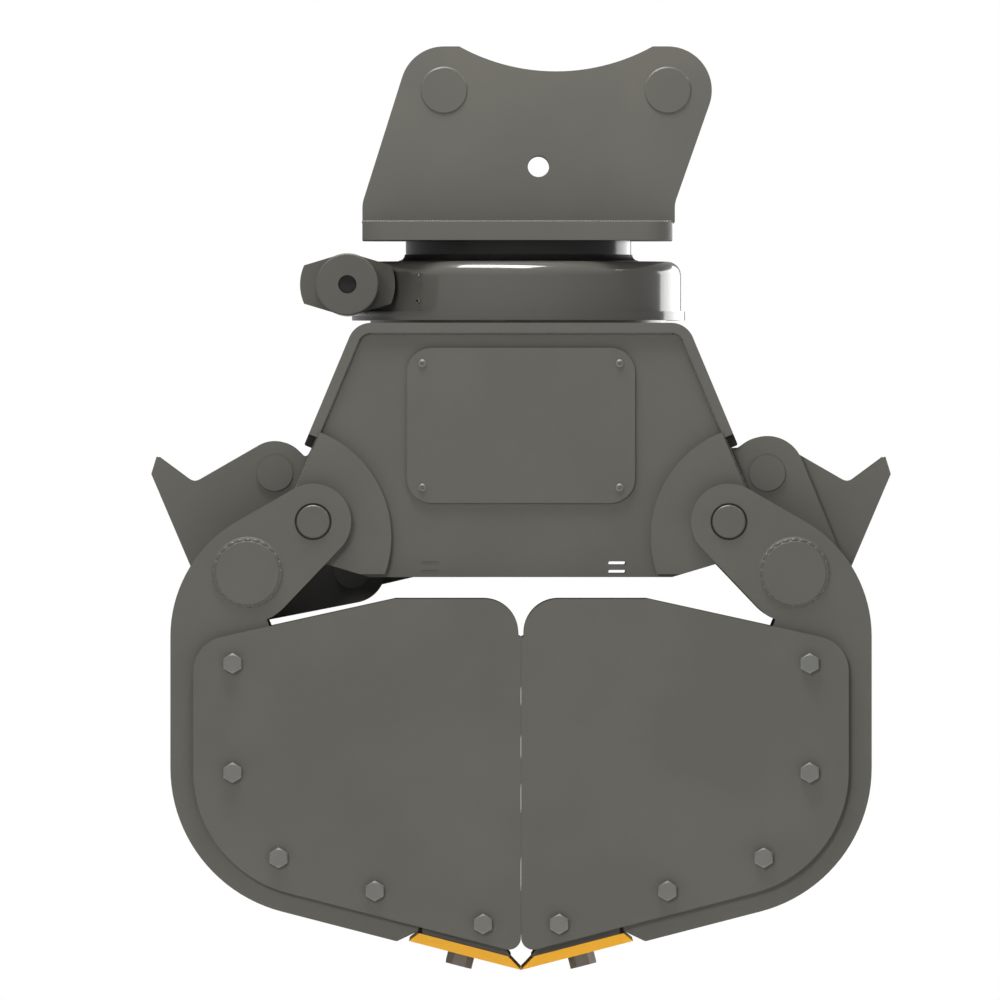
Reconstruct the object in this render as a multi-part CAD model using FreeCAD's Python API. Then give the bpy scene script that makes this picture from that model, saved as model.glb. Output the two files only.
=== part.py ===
# Hydraulic sorting grapple for an excavator, in millimetres.
# X runs along the head bracket from the stick pin to the link pin, Y across the shells, Z up.
# The frame and the shells are drawn about the middle of the frame, the slew drive about its own
# axis beside it, and the head by its pins, all with Z = 0 at the tips of the closed lips,
# and are moved at the end so that the origin lies at the middle of the stick pin.

import FreeCAD, Part
import math
import os

V = FreeCAD.Vector

# Fits and gaps
RUNNING = 0.05          # radial clearance of a pin or shaft that turns
SEAT = 0.3              # gap between pieces of different bodies that lie side by side
WELD_GAP = 0.2          # radial gap of a tube or ring that is welded in a plate

# Levels and the main stack on the rotator's axis
ROOF_TOP = 1292
SPACER_HEIGHT = 6
FLANGE_HEIGHT = 18
HOUSING_HEIGHT = 100
NECK_HEIGHT = 42
BASE_THICKNESS = 36
PIN_ABOVE_BASE = 264

# Head bracket
BASE_LEFT = 317.5
BASE_RIGHT = 303
BASE_HALF_WIDTH = 280
BASE_CORNER_R = 56
STICK_PIN_X = -154
PIN_SPACING = 448
HEAD_PIN_R = 47.5
EAR_BOSS_R = 88
EAR_THICKNESS = 30
EAR_GAP = 310
EAR_FOOT_OVERHANG = 5
EAR_FOOT_HEIGHT = 38
EAR_KNEE_R = 60
EAR_SADDLE_R = 400
EAR_SADDLE_DROP = 50
SIGHT_HOLE_R = 21.5
SIGHT_HOLE_X = 35
SIGHT_HOLE_HEIGHT = 112
CROSS_PLATE_THICKNESS = 20
CROSS_PLATE_HEIGHT = 120
CROSS_PLATE_INSET = 45
PIN_PROUD = 5
PIN_CHAMFER = 3
PIN_GROOVE_WIDTH = 3     # relief groove in the pin at each ear's inner face
PIN_GROOVE_DEPTH = 0.5
FLAG_THICKNESS = 12
FLAG_LENGTH = 120
FLAG_WIDTH = 60
KEEPER_BOLT_R = 10

# Slew drive
SLEW_X = -5             # the rotator's axis, from the frame's middle
NECK_R = 226
NECK_BORE_R = 100
HOUSING_BEYOND_NECK = 100
GEAR_INSET = 30
BEARING_WIDTH = 56
HOUSING_WALL = 16
HOUSING_TOP_WALL = 14
HOUSING_EDGE_R = 28
FLANGE_OVERHANG = 8
FLANGE_INNER_R = 252
SEAL_WIDTH = 4.5
SEAL_LIP_R = 12
SEAL_LIP_EDGE = 2
SEAL_LIP_STEPS = 8
SPACER_R = 297
SLEW_BOLT_CIRCLE_R = 275
SLEW_BOLT_COUNT = 12
SLEW_BOLT_R = 10
NECK_BOLT_CIRCLE_R = 130
NECK_BOLT_COUNT = 8
NECK_BOLT_R = 12
NECK_BOLT_DEPTH = 45
NECK_BOLT_ROOM = 5
GEAR_TEETH = 76
GEAR_TOOTH_DEPTH = 14
GEAR_WIDTH = 44
TOOTH_SLACK = 2.4
WORM_OUTSIDE = 16
WORM_LENGTH = 270
WORM_ROOT_GAP = 1
WORM_TUBE_R = 62
WORM_TUBE_WALL = 8
MOTOR_CLEARANCE = 15
WORM_JOURNAL_R = 24
CAP_THICKNESS = 16
MOTOR_LENGTH = 110
MOTOR_FLANGE_R = 95
MOTOR_FLANGE_T = 20
MOTOR_EAR_HALF = 36
MOTOR_PORT_R = 18.4
MOTOR_PORT_DEPTH = 70
SWIVEL_HEAD_R = 74
SWIVEL_HEAD_HEIGHT = 70
SWIVEL_SHAFT_R = 55
SWIVEL_SLEEVE_R = 84
SWIVEL_SLEEVE_HEIGHT = 105
SWIVEL_TAIL = 12
PORT_R = 15.3
SMALL_PORT_R = 9.3
PORT_DEPTH = 26
PORT_OFFSET = 40
PORT_BOSS_HEIGHT = 32
PORT_BOSS_WALL = 6

# Frame box
PLATE = 20              # roof, side and back plates
ROOF_HALF_LENGTH = 331
WALL_FOOT_X = 424
WALL_FOOT_Z = 1070
ROOF_BEND_R = 47
ROOF_HALF_WIDTH = 388
SIDE_OUTER = 375        # outer face of the frame's side plates
DOUBLER = 22
FRAME_BOTTOM = 784
BOTTOM_FLAT_HALF = 302
BOTTOM_RISE_DEG = 15
LOBE_R = 74
DOUBLER_R = 225
DOUBLER_X = 484
DOUBLER_Z = 864
DOUBLER_INSET = 6
COVER_HALF = 228
COVER_RISE = 148
COVER_DROP = 50
COVER_WINDOW_R = 30
COVER_CORNER_R = 50
COVER_THICKNESS = 8
COVER_SCREW_INSET = 31
COVER_LAP = 58
COVER_SCREW_R = 5
SLIT_LENGTH = 35
SLIT_HEIGHT = 6.5
SLIT_END_R = 3.1
SLIT_LEFT_X = -182
SLIT_RIGHT_X = 192
SLIT_PITCH = 17
SLIT_ABOVE_BOTTOM = 11
TAB_PLATE_LENGTH = 60
TAB_PLATE_THICKNESS = 12
TAB_PLATE_MARGIN = 8
TAB_DEPTH = 1           # the tabs in the left slits end this far under the plate's face
RIB_X = 230
RIB_THICKNESS = 15
RIB_DEPTH = 160
WALL_SLOT_X = 300
WALL_SLOT_TOP = 1160
WALL_SLOT_GAP = 6
STOP_LENGTH = 24

# Shell pivots, cross tube and crank of each shell, on the +X side
PIVOT_X = 415
PIVOT_Z = 895
PIVOT_PIN_R = 33
BUSH_R = 37
BUSH_RECESS = 3
TUBE_X = 546
TUBE_Z = 792
TUBE_R = 62
TUBE_WALL = 16
TUBE_CAP = 15
WELD_WIDTH = 11
WELD_HEIGHT = 7
CRANK_X = 77
CRANK_Z = 97
CYLINDER_PIN_R = 36

# Shell arms and side plates
ARM_INNER = 400
ARM_THICKNESS = 30
SIDE_PLATE_THICKNESS = 20
EAR_R = 76
TUBE_BOSS_R = 100
SHELL_BACK = 700
SHOULDER_R = 264
HEEL_R = 296
ARM_BAND = 170
LIP_ANGLE_DEG = 14.5
LIP_GAP = 0.2
ARM_BELOW_LIP = 6.8
TOE_X = 248
TOE_BACK = 42
TOE_RISE = 20
NOTCH_X = 502
NOTCH_Z = 686
THROAT_DROP = 60
THROAT_R = 30
SIDE_PLATE_INSET = 46
SIDE_PLATE_OFFSET = 32.5
SIDE_PLATE_TOP = 741
SIDE_PLATE_FLAT = 252
SIDE_PLATE_FALL_DEG = 12.4
SIDE_PLATE_CORNER_R = 70
SIDE_PLATE_HEEL_R = 250
SIDE_PLATE_TIP_R = 24
CLOSING_GAP = 0.2
CLOSING_GAP_ABOVE = 5
CLOSING_GAP_TOP = 666
RELIEF_DEPTH = 0.3
RELIEF_LEVELS = ((528, 562), (422, 464), (314, 366), (158, 218))
SIDE_BOLT_PLACES = ((576, 612), (576, 394), (484, 224), (292, 158), (76, 92))
SIDE_BOLT_R = 12
SIDE_BOLT_FLATS = 36
SIDE_BOLT_HEAD = 15

# Lip, cutting edge and back plate
EDGE_THICKNESS = 20
EDGE_LENGTH = 231
EDGE_HALF_WIDTH = 440
EDGE_BEVEL = 26
EDGE_END_BEVEL = 20
LIP_THICKNESS = 25
LIP_SETBACK = 20
LIP_END_X = 330
LIP_TONGUE_X = 197
EDGE_BOLT_R = 15
EDGE_BOLT_FLATS = 46
EDGE_BOLT_NUT = 24
EDGE_BOLT_X = 119
EDGE_BOLT_YS = (-330, -110, 110, 330)
BACK_OFFSET = 26
DRAIN_R = 42
DRAIN_YS = (-285, -95, 95, 285)
DRAIN_LEVELS = (330, 450, 570)
LIP_DRAIN_XS = (400, 490)

# Lugs on the cross tubes: distance of each plate's inner face from the middle, and its thickness
LUG_THICKNESS = 25
INNER_LUG_Y = 58
LINK_Y = 90
LINK_THICKNESS = 30
LINK_LUG_Y = 127
FIN_Y = 296
CHEEK_Y = 326
CHEEK_THICKNESS = 22
FIN_BOSS_R = 64
CHEEK_BOSS_R = 74
LINK_LUG_R = 66
FIN_NOTCH_X = 655
FIN_NOTCH_Z = 972
FIN_TIP_X = 728
FIN_TIP_Z = 1026
FIN_TIP_FLAT = 36
FIN_TIP_LEAN = 11
FIN_NOTCH_R = 24
FIN_TIP_R = 2
FIN_TIP_LOW_R = 4
SHOULDER_DIP_X = 430    # inner shoulder of the fin plates, beside the wall's foot
SHOULDER_DIP_Z = 1021
SHOULDER_DIP_R = 8
SHOULDER_TOP_X = 418
SHOULDER_TOP_Z = 1041
SHOULDER_INNER_X = 404
CHEEK_DIP_X = 436
CHEEK_DIP_Z = 1043

# Cylinder and synchronising links
CYLINDER_EYE_R = 62
CYLINDER_EYE_HALF = 48
BARREL_R = 78
BARREL_NECK_HALF = 29
BORE_R = 65
BARREL_START = 75
BARREL_END = 600
BARREL_BOTTOM = 40
BARREL_PORT_INSET = 30
BARREL_PORT_BOSS_R = 24
BARREL_PORT_HEIGHT = 18
BARREL_PORT_R = 12.2
GLAND_LENGTH = 60
GLAND_LIP = 14
GLAND_LIP_R = 84
ROD_R = 42
PISTON_WIDTH = 60
PISTON_SPIGOT_R = 26
ROD_LENGTH = 490
LINK_HALF = 42
LINK_EYE_R = 60
FORK_HALF = 54
FORK_TOP = 45
FORK_BOTTOM = 54

# Places that follow from the sizes above
HOUSING_R = NECK_R + HOUSING_BEYOND_NECK
GEAR_PITCH_R = HOUSING_R - GEAR_INSET
BEARING_RING_R = GEAR_PITCH_R - BEARING_WIDTH
FLANGE_R = HOUSING_R + FLANGE_OVERHANG
WORM_X = HOUSING_R + WORM_OUTSIDE
WORM_TUBE_HALF = math.sqrt(HOUSING_R ** 2 - (WORM_X - MOTOR_FLANGE_R) ** 2) + MOTOR_CLEARANCE
COVER_BOTTOM = FRAME_BOTTOM + COVER_RISE
COVER_TOP = ROOF_TOP - COVER_DROP
SPACER_TOP = ROOF_TOP + SPACER_HEIGHT
FLANGE_TOP = SPACER_TOP + FLANGE_HEIGHT
HOUSING_TOP = FLANGE_TOP + HOUSING_HEIGHT
BASE_BOTTOM = HOUSING_TOP + NECK_HEIGHT
BASE_TOP = BASE_BOTTOM + BASE_THICKNESS
HEAD_PIN_Z = BASE_TOP + PIN_ABOVE_BASE
LINK_PIN_X = STICK_PIN_X + PIN_SPACING
EAR_INNER = EAR_GAP / 2
EAR_OUTER = EAR_INNER + EAR_THICKNESS
GEAR_Z = (FLANGE_TOP + HOUSING_TOP) / 2 + 3
UPPER_PIN = (PIVOT_X + CRANK_X, PIVOT_Z + CRANK_Z)
LOWER_PIN = (PIVOT_X - CRANK_X, PIVOT_Z - CRANK_Z)
PIVOT = (PIVOT_X, PIVOT_Z)
TUBE = (TUBE_X, TUBE_Z)
SIDE_INNER = SIDE_OUTER - PLATE
DOUBLER_OUTER = SIDE_OUTER + DOUBLER
ARM_OUTER = ARM_INNER + ARM_THICKNESS
SIDE_PLATE_OUTER = ARM_OUTER + SIDE_PLATE_THICKNESS
LIP_TILT = math.radians(LIP_ANGLE_DEG)
LIP_SLOPE = math.tan(LIP_TILT)
WALL_TILT = math.atan2(ROOF_TOP - WALL_FOOT_Z, WALL_FOOT_X - ROOF_HALF_LENGTH)
LEFT = -1
RIGHT = 1


# Drawing helpers

def line_shift(offset):
    """How far a line of the lip's slope rises when it is moved square to itself."""
    return offset / math.cos(LIP_TILT)


def on_lip(x, offset):
    """Point at x on the line that lies this far above the underside of the cutting edge."""
    return (x, (x - LIP_GAP) * LIP_SLOPE + line_shift(offset))


def rounded(corners):
    """Closed outline in (u, v) through corners (u, v, radius), as edges in the XZ plane."""
    points = []
    count = len(corners)
    for i, corner in enumerate(corners):
        here = V(corner[0], 0, corner[1])
        radius = corner[2] if len(corner) > 2 else 0
        if radius == 0:
            points.append((here, None, here))
            continue
        before = corners[i - 1]
        after = corners[(i + 1) % count]
        back = (V(before[0], 0, before[1]) - here).normalize()
        ahead = (V(after[0], 0, after[1]) - here).normalize()
        half = back.getAngle(ahead) / 2
        reach = radius / math.tan(half)
        inward = (back + ahead).normalize()
        middle = here + inward * (radius / math.sin(half) - radius)
        points.append((here + back * reach, middle, here + ahead * reach))
    edges = []
    for i, (start, middle, end) in enumerate(points):
        if middle is not None:
            edges.append(Part.Arc(start, middle, end).toShape())
        following = points[(i + 1) % count][0]
        if end.distanceToPoint(following) > 0.001:
            edges.append(Part.LineSegment(end, following).toShape())
    return Part.Wire(edges)


def plate(corners, y_from, y_to):
    """Flat plate with a rounded outline, between two distances along Y."""
    face = Part.Face(rounded(corners))
    face.translate(V(0, y_from, 0))
    return face.extrude(V(0, y_to - y_from, 0))


def slab(corners, z_from, z_to):
    """Flat plate that lies level: the outline is given in (x, y)."""
    body = plate(corners, z_from, z_to)
    body.rotate(V(0, 0, 0), V(1, 0, 0), -90)
    body = body.mirror(V(0, 0, 0), V(0, 0, 1))
    return body


def round_y(place, radius, y_from, y_to):
    return Part.makeCylinder(radius, y_to - y_from, V(place[0], y_from, place[1]), V(0, 1, 0))


def round_z(x, y, radius, z_from, z_to):
    return Part.makeCylinder(radius, z_to - z_from, V(x, y, z_from), V(0, 0, 1))


def block(x_from, x_to, y_from, y_to, z_from, z_to):
    return Part.makeBox(x_to - x_from, y_to - y_from, z_to - z_from, V(x_from, y_from, z_from))


def turned(profile):
    """Ring or shaft turned about the rotator's axis from (radius, z) corners."""
    points = [V(r, 0, z) for r, z in profile]
    face = Part.Face(Part.makePolygon(points + points[:1]))
    return face.revolve(V(0, 0, 0), V(0, 0, 1), 360)


def hexagon_y(place, flats, y_from, y_to):
    """Hexagon bar along Y, standing on a corner."""
    reach = flats / 2 / math.cos(math.pi / 6)
    corners = []
    for i in range(6):
        angle = math.pi / 2 + i * math.pi / 3
        corners.append((place[0] + reach * math.cos(angle), place[1] + reach * math.sin(angle)))
    return plate(corners, y_from, y_to)


def outer_tangent(first, first_r, second, second_r, side):
    """The two points where a line touches two circles, on one side (+1 left, -1 right)."""
    dx = second[0] - first[0]
    dz = second[1] - first[1]
    length = math.hypot(dx, dz)
    lean = math.asin((first_r - second_r) / length)
    angle = math.atan2(dz, dx) + side * (math.pi / 2 - lean)
    nx = math.cos(angle)
    nz = math.sin(angle)
    return ((first[0] + first_r * nx, first[1] + first_r * nz),
            (second[0] + second_r * nx, second[1] + second_r * nz))


def link_plate(first, first_r, second, second_r, y_from, y_to):
    """Plate whose outline is two circles and the tangents between them."""
    a, b = outer_tangent(first, first_r, second, second_r, 1)
    d, c = outer_tangent(first, first_r, second, second_r, -1)
    bar = plate([a, b, c, d], y_from, y_to)
    return united([bar, round_y(first, first_r, y_from, y_to), round_y(second, second_r, y_from, y_to)])


def united(shapes):
    whole = shapes[0].multiFuse(shapes[1:])
    return whole.removeSplitter()


def strip(path, thickness, y_from, y_to):
    """Bent plate: an open path of (x, z, outer radius) with the metal on its right side."""
    sides = []
    for start, end in zip(path, path[1:]):
        run = V(end[0] - start[0], 0, end[1] - start[1]).normalize()
        sides.append((V(start[0], 0, start[1]), run, V(run.z, 0, -run.x) * thickness))
    inner = [(sides[0][0] + sides[0][2], 0)]
    for (p, run, shift), (q, next_run, next_shift), corner in zip(sides, sides[1:], path[1:]):
        cross = run.x * next_run.z - run.z * next_run.x
        offset = (q + next_shift) - (p + shift)
        along = (offset.x * next_run.z - offset.z * next_run.x) / cross
        inner.append((p + shift + run * along, corner[2] - thickness))
    last = V(path[-1][0], 0, path[-1][1]) + sides[-1][2]
    inner.append((last, 0))
    corners = [(x, z, r) for x, z, r in path]
    corners += [(point.x, point.z, radius) for point, radius in reversed(inner)]
    return plate(corners, y_from, y_to)


def front_and_rear(shape):
    """A piece at +Y and its mirror image at -Y."""
    return [shape, shape.mirror(V(0, 0, 0), V(0, 1, 0))]


def left_and_right(shape):
    return [shape, shape.mirror(V(0, 0, 0), V(1, 0, 0))]


def on_side(shape, side):
    """Shells are drawn on the +X side, and mirrored for the left."""
    return shape if side == RIGHT else shape.mirror(V(0, 0, 0), V(1, 0, 0))


def around(shape, count, start_deg=0):
    """Copies of a shape spaced evenly round the rotator's axis."""
    copies = []
    for i in range(count):
        copy = shape.copy()
        copy.rotate(V(0, 0, 0), V(0, 0, 1), start_deg + i * 360 / count)
        copies.append(copy)
    return copies


def save(name, shapes, axis_x=0):
    """Writes one piece, or a group of equal pieces, moved to the stick pin's middle."""
    solids = []
    for shape in shapes:
        solids += shape.Solids
    moved = Part.makeCompound(solids) if len(solids) > 1 else solids[0].copy()
    moved.translate(V(axis_x - STICK_PIN_X, 0, -HEAD_PIN_Z))
    moved.exportStep("parts/" + name + ".step")


# Head bracket

def ear_outline():
    """One ear plate, with its saddle between the pin bosses."""
    stick = (STICK_PIN_X, HEAD_PIN_Z)
    link = (LINK_PIN_X, HEAD_PIN_Z)
    foot_left = -BASE_LEFT
    foot_right = BASE_RIGHT + EAR_FOOT_OVERHANG
    left_knee = (foot_left, BASE_TOP + EAR_FOOT_HEIGHT)
    right_knee = (foot_right, BASE_TOP + EAR_FOOT_HEIGHT)
    left_touch = outer_tangent(left_knee, 0, stick, EAR_BOSS_R, 1)[1]
    right_touch = outer_tangent(right_knee, 0, link, EAR_BOSS_R, -1)[1]
    body = plate([(foot_left, BASE_TOP), left_knee + (EAR_KNEE_R,), left_touch, stick, link, right_touch,
                  right_knee + (EAR_KNEE_R,), (foot_right, BASE_TOP)], EAR_INNER, EAR_OUTER)
    crown = block(STICK_PIN_X, LINK_PIN_X, EAR_INNER, EAR_OUTER, HEAD_PIN_Z, HEAD_PIN_Z + EAR_BOSS_R)
    bosses = [round_y(pin, EAR_BOSS_R, EAR_INNER, EAR_OUTER) for pin in (stick, link)]
    whole = united([body, crown] + bosses)
    saddle_z = HEAD_PIN_Z + EAR_BOSS_R - EAR_SADDLE_DROP + EAR_SADDLE_R
    saddle_x = (STICK_PIN_X + LINK_PIN_X) / 2
    cuts = [round_y((saddle_x, saddle_z), EAR_SADDLE_R, EAR_INNER - 1, EAR_OUTER + 1)]
    sight = (SIGHT_HOLE_X, BASE_TOP + SIGHT_HOLE_HEIGHT)
    cuts.append(round_y(sight, SIGHT_HOLE_R, EAR_INNER - 1, EAR_OUTER + 1))
    for pin in (stick, link):
        cuts.append(round_y(pin, HEAD_PIN_R + RUNNING, EAR_INNER - 1, EAR_OUTER + 1))
    return whole.cut(cuts)


def keeper_bolt_place(pin_x):
    return (pin_x, HEAD_PIN_Z - FLAG_LENGTH + FLAG_WIDTH / 2)


def make_head():
    ear = ear_outline()
    keeper_holes = []
    for pin_x in (STICK_PIN_X, LINK_PIN_X):
        place = keeper_bolt_place(pin_x)
        keeper_holes.append(round_y(place, KEEPER_BOLT_R + RUNNING, EAR_INNER - 1, EAR_OUTER + 1))
    save("head_ear_front", [ear.mirror(V(0, 0, 0), V(0, 1, 0))])
    save("head_ear_rear", [ear.cut(keeper_holes)])

    base = slab([(-BASE_LEFT, -BASE_HALF_WIDTH, BASE_CORNER_R), (BASE_RIGHT, -BASE_HALF_WIDTH, BASE_CORNER_R),
                 (BASE_RIGHT, BASE_HALF_WIDTH, BASE_CORNER_R), (-BASE_LEFT, BASE_HALF_WIDTH, BASE_CORNER_R)],
                BASE_BOTTOM, BASE_TOP)
    holes = around(round_z(NECK_BOLT_CIRCLE_R, 0, NECK_BOLT_R + 1, BASE_BOTTOM - 1, BASE_TOP + 1),
                   NECK_BOLT_COUNT, 180 / NECK_BOLT_COUNT)
    holes.append(round_z(0, 0, SWIVEL_SHAFT_R + WELD_GAP, BASE_BOTTOM - 1, BASE_TOP + 1))
    for hole in holes:
        hole.translate(V(SLEW_X, 0, 0))
    save("head_base_plate", [base.cut(holes)])

    plates = []
    left_x = -BASE_LEFT + CROSS_PLATE_INSET
    right_x = BASE_RIGHT - CROSS_PLATE_INSET - CROSS_PLATE_THICKNESS
    for x in (left_x, right_x):
        plates.append(block(x, x + CROSS_PLATE_THICKNESS, -EAR_INNER, EAR_INNER,
                            BASE_TOP, BASE_TOP + CROSS_PLATE_HEIGHT))
    save("head_cross_plates", plates)

    for name, pin_x in (("stick_pin", STICK_PIN_X), ("link_pin", LINK_PIN_X)):
        place = (pin_x, HEAD_PIN_Z)
        flag_from = EAR_OUTER + SEAT
        flag_to = flag_from + FLAG_THICKNESS
        wall = round_y(place, HEAD_PIN_R, -EAR_OUTER, EAR_OUTER)
        nose = Part.makeCone(HEAD_PIN_R, HEAD_PIN_R - PIN_CHAMFER, PIN_CHAMFER,
                             V(pin_x, -EAR_OUTER, HEAD_PIN_Z), V(0, -1, 0))
        tail = round_y(place, HEAD_PIN_R - PIN_CHAMFER, EAR_OUTER, flag_to + PIN_CHAMFER)
        grooves = []
        for groove_from in (-EAR_INNER - PIN_GROOVE_WIDTH, EAR_INNER):
            ring = round_y(place, HEAD_PIN_R + 1, groove_from, groove_from + PIN_GROOVE_WIDTH)
            core = round_y(place, HEAD_PIN_R - PIN_GROOVE_DEPTH, groove_from - 1,
                           groove_from + PIN_GROOVE_WIDTH + 1)
            grooves.append(ring.cut(core))
        half = FLAG_WIDTH / 2
        flag = plate([(pin_x - half, HEAD_PIN_Z), (pin_x - half, HEAD_PIN_Z - FLAG_LENGTH, 12),
                      (pin_x + half, HEAD_PIN_Z - FLAG_LENGTH, 12), (pin_x + half, HEAD_PIN_Z)],
                     flag_from, flag_to)
        bolt_place = keeper_bolt_place(pin_x)
        hole = round_y(bolt_place, KEEPER_BOLT_R + 1, flag_from - 1, flag_to + 1)
        save(name, [united([wall, nose, tail, flag]).cut([hole] + grooves)])
        bolt = united([round_y(bolt_place, KEEPER_BOLT_R, EAR_INNER + 5, flag_to),
                       hexagon_y(bolt_place, 3 * KEEPER_BOLT_R, flag_to, flag_to + 13)])
        save(name + "_bolt", [bolt])


# Slew drive between head and frame

def ring_gear():
    """Ring with straight-sided teeth that mesh with the worm."""
    pitch = 2 * math.pi / GEAR_TEETH
    tip_r = GEAR_PITCH_R + GEAR_TOOTH_DEPTH / 2
    root_r = GEAR_PITCH_R - GEAR_TOOTH_DEPTH / 2
    slack = TOOTH_SLACK / GEAR_PITCH_R
    tip_half = pitch * 0.17 - slack / 2
    root_half = pitch * 0.36 - slack / 2
    points = []
    for i in range(GEAR_TEETH):
        middle = math.pi + i * pitch
        for radius, angle in ((root_r, middle - root_half), (tip_r, middle - tip_half),
                              (tip_r, middle + tip_half), (root_r, middle + root_half)):
            points.append(V(radius * math.cos(angle), radius * math.sin(angle), 0))
    wire = Part.makePolygon(points + points[:1])
    ring = Part.Face(wire).extrude(V(0, 0, GEAR_WIDTH))
    ring.translate(V(0, 0, GEAR_Z - GEAR_WIDTH / 2))
    return ring.cut(round_z(0, 0, BEARING_RING_R + WELD_GAP, GEAR_Z - GEAR_WIDTH, GEAR_Z + GEAR_WIDTH))


def worm():
    """Worm shaft along Y: its core, as wide as the thread's root, and the two journals."""
    core_r = WORM_X - GEAR_PITCH_R - GEAR_TOOTH_DEPTH / 2 - WORM_ROOT_GAP
    core = Part.makeCylinder(core_r, WORM_LENGTH, V(0, -WORM_LENGTH / 2, 0), V(0, 1, 0))
    ends = Part.makeCylinder(WORM_JOURNAL_R, 2 * WORM_TUBE_HALF - 2 * SEAT,
                             V(0, SEAT - WORM_TUBE_HALF, 0), V(0, 1, 0))
    shaft = united([core, ends])
    shaft.translate(V(-WORM_X, 0, GEAR_Z))
    return shaft


def motor_flange():
    """Two-ear flange: a round pad with tangents out to two ears, inside the flange's own circle."""
    y_from = -WORM_TUBE_HALF - MOTOR_FLANGE_T
    y_to = -WORM_TUBE_HALF
    centre = (-WORM_X, GEAR_Z)
    pieces = [round_y(centre, WORM_TUBE_R, y_from, y_to)]
    for side in (-1, 1):
        far_x = -WORM_X + side * MOTOR_FLANGE_R
        top = (far_x, GEAR_Z + MOTOR_EAR_HALF)
        bottom = (far_x, GEAR_Z - MOTOR_EAR_HALF)
        top_touch = outer_tangent(top, 0, centre, WORM_TUBE_R, -side)[1]
        bottom_touch = outer_tangent(bottom, 0, centre, WORM_TUBE_R, side)[1]
        pieces.append(plate([centre, top_touch, top, bottom, bottom_touch], y_from, y_to))
    return united(pieces).common(round_y(centre, MOTOR_FLANGE_R, y_from, y_to))


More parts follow.
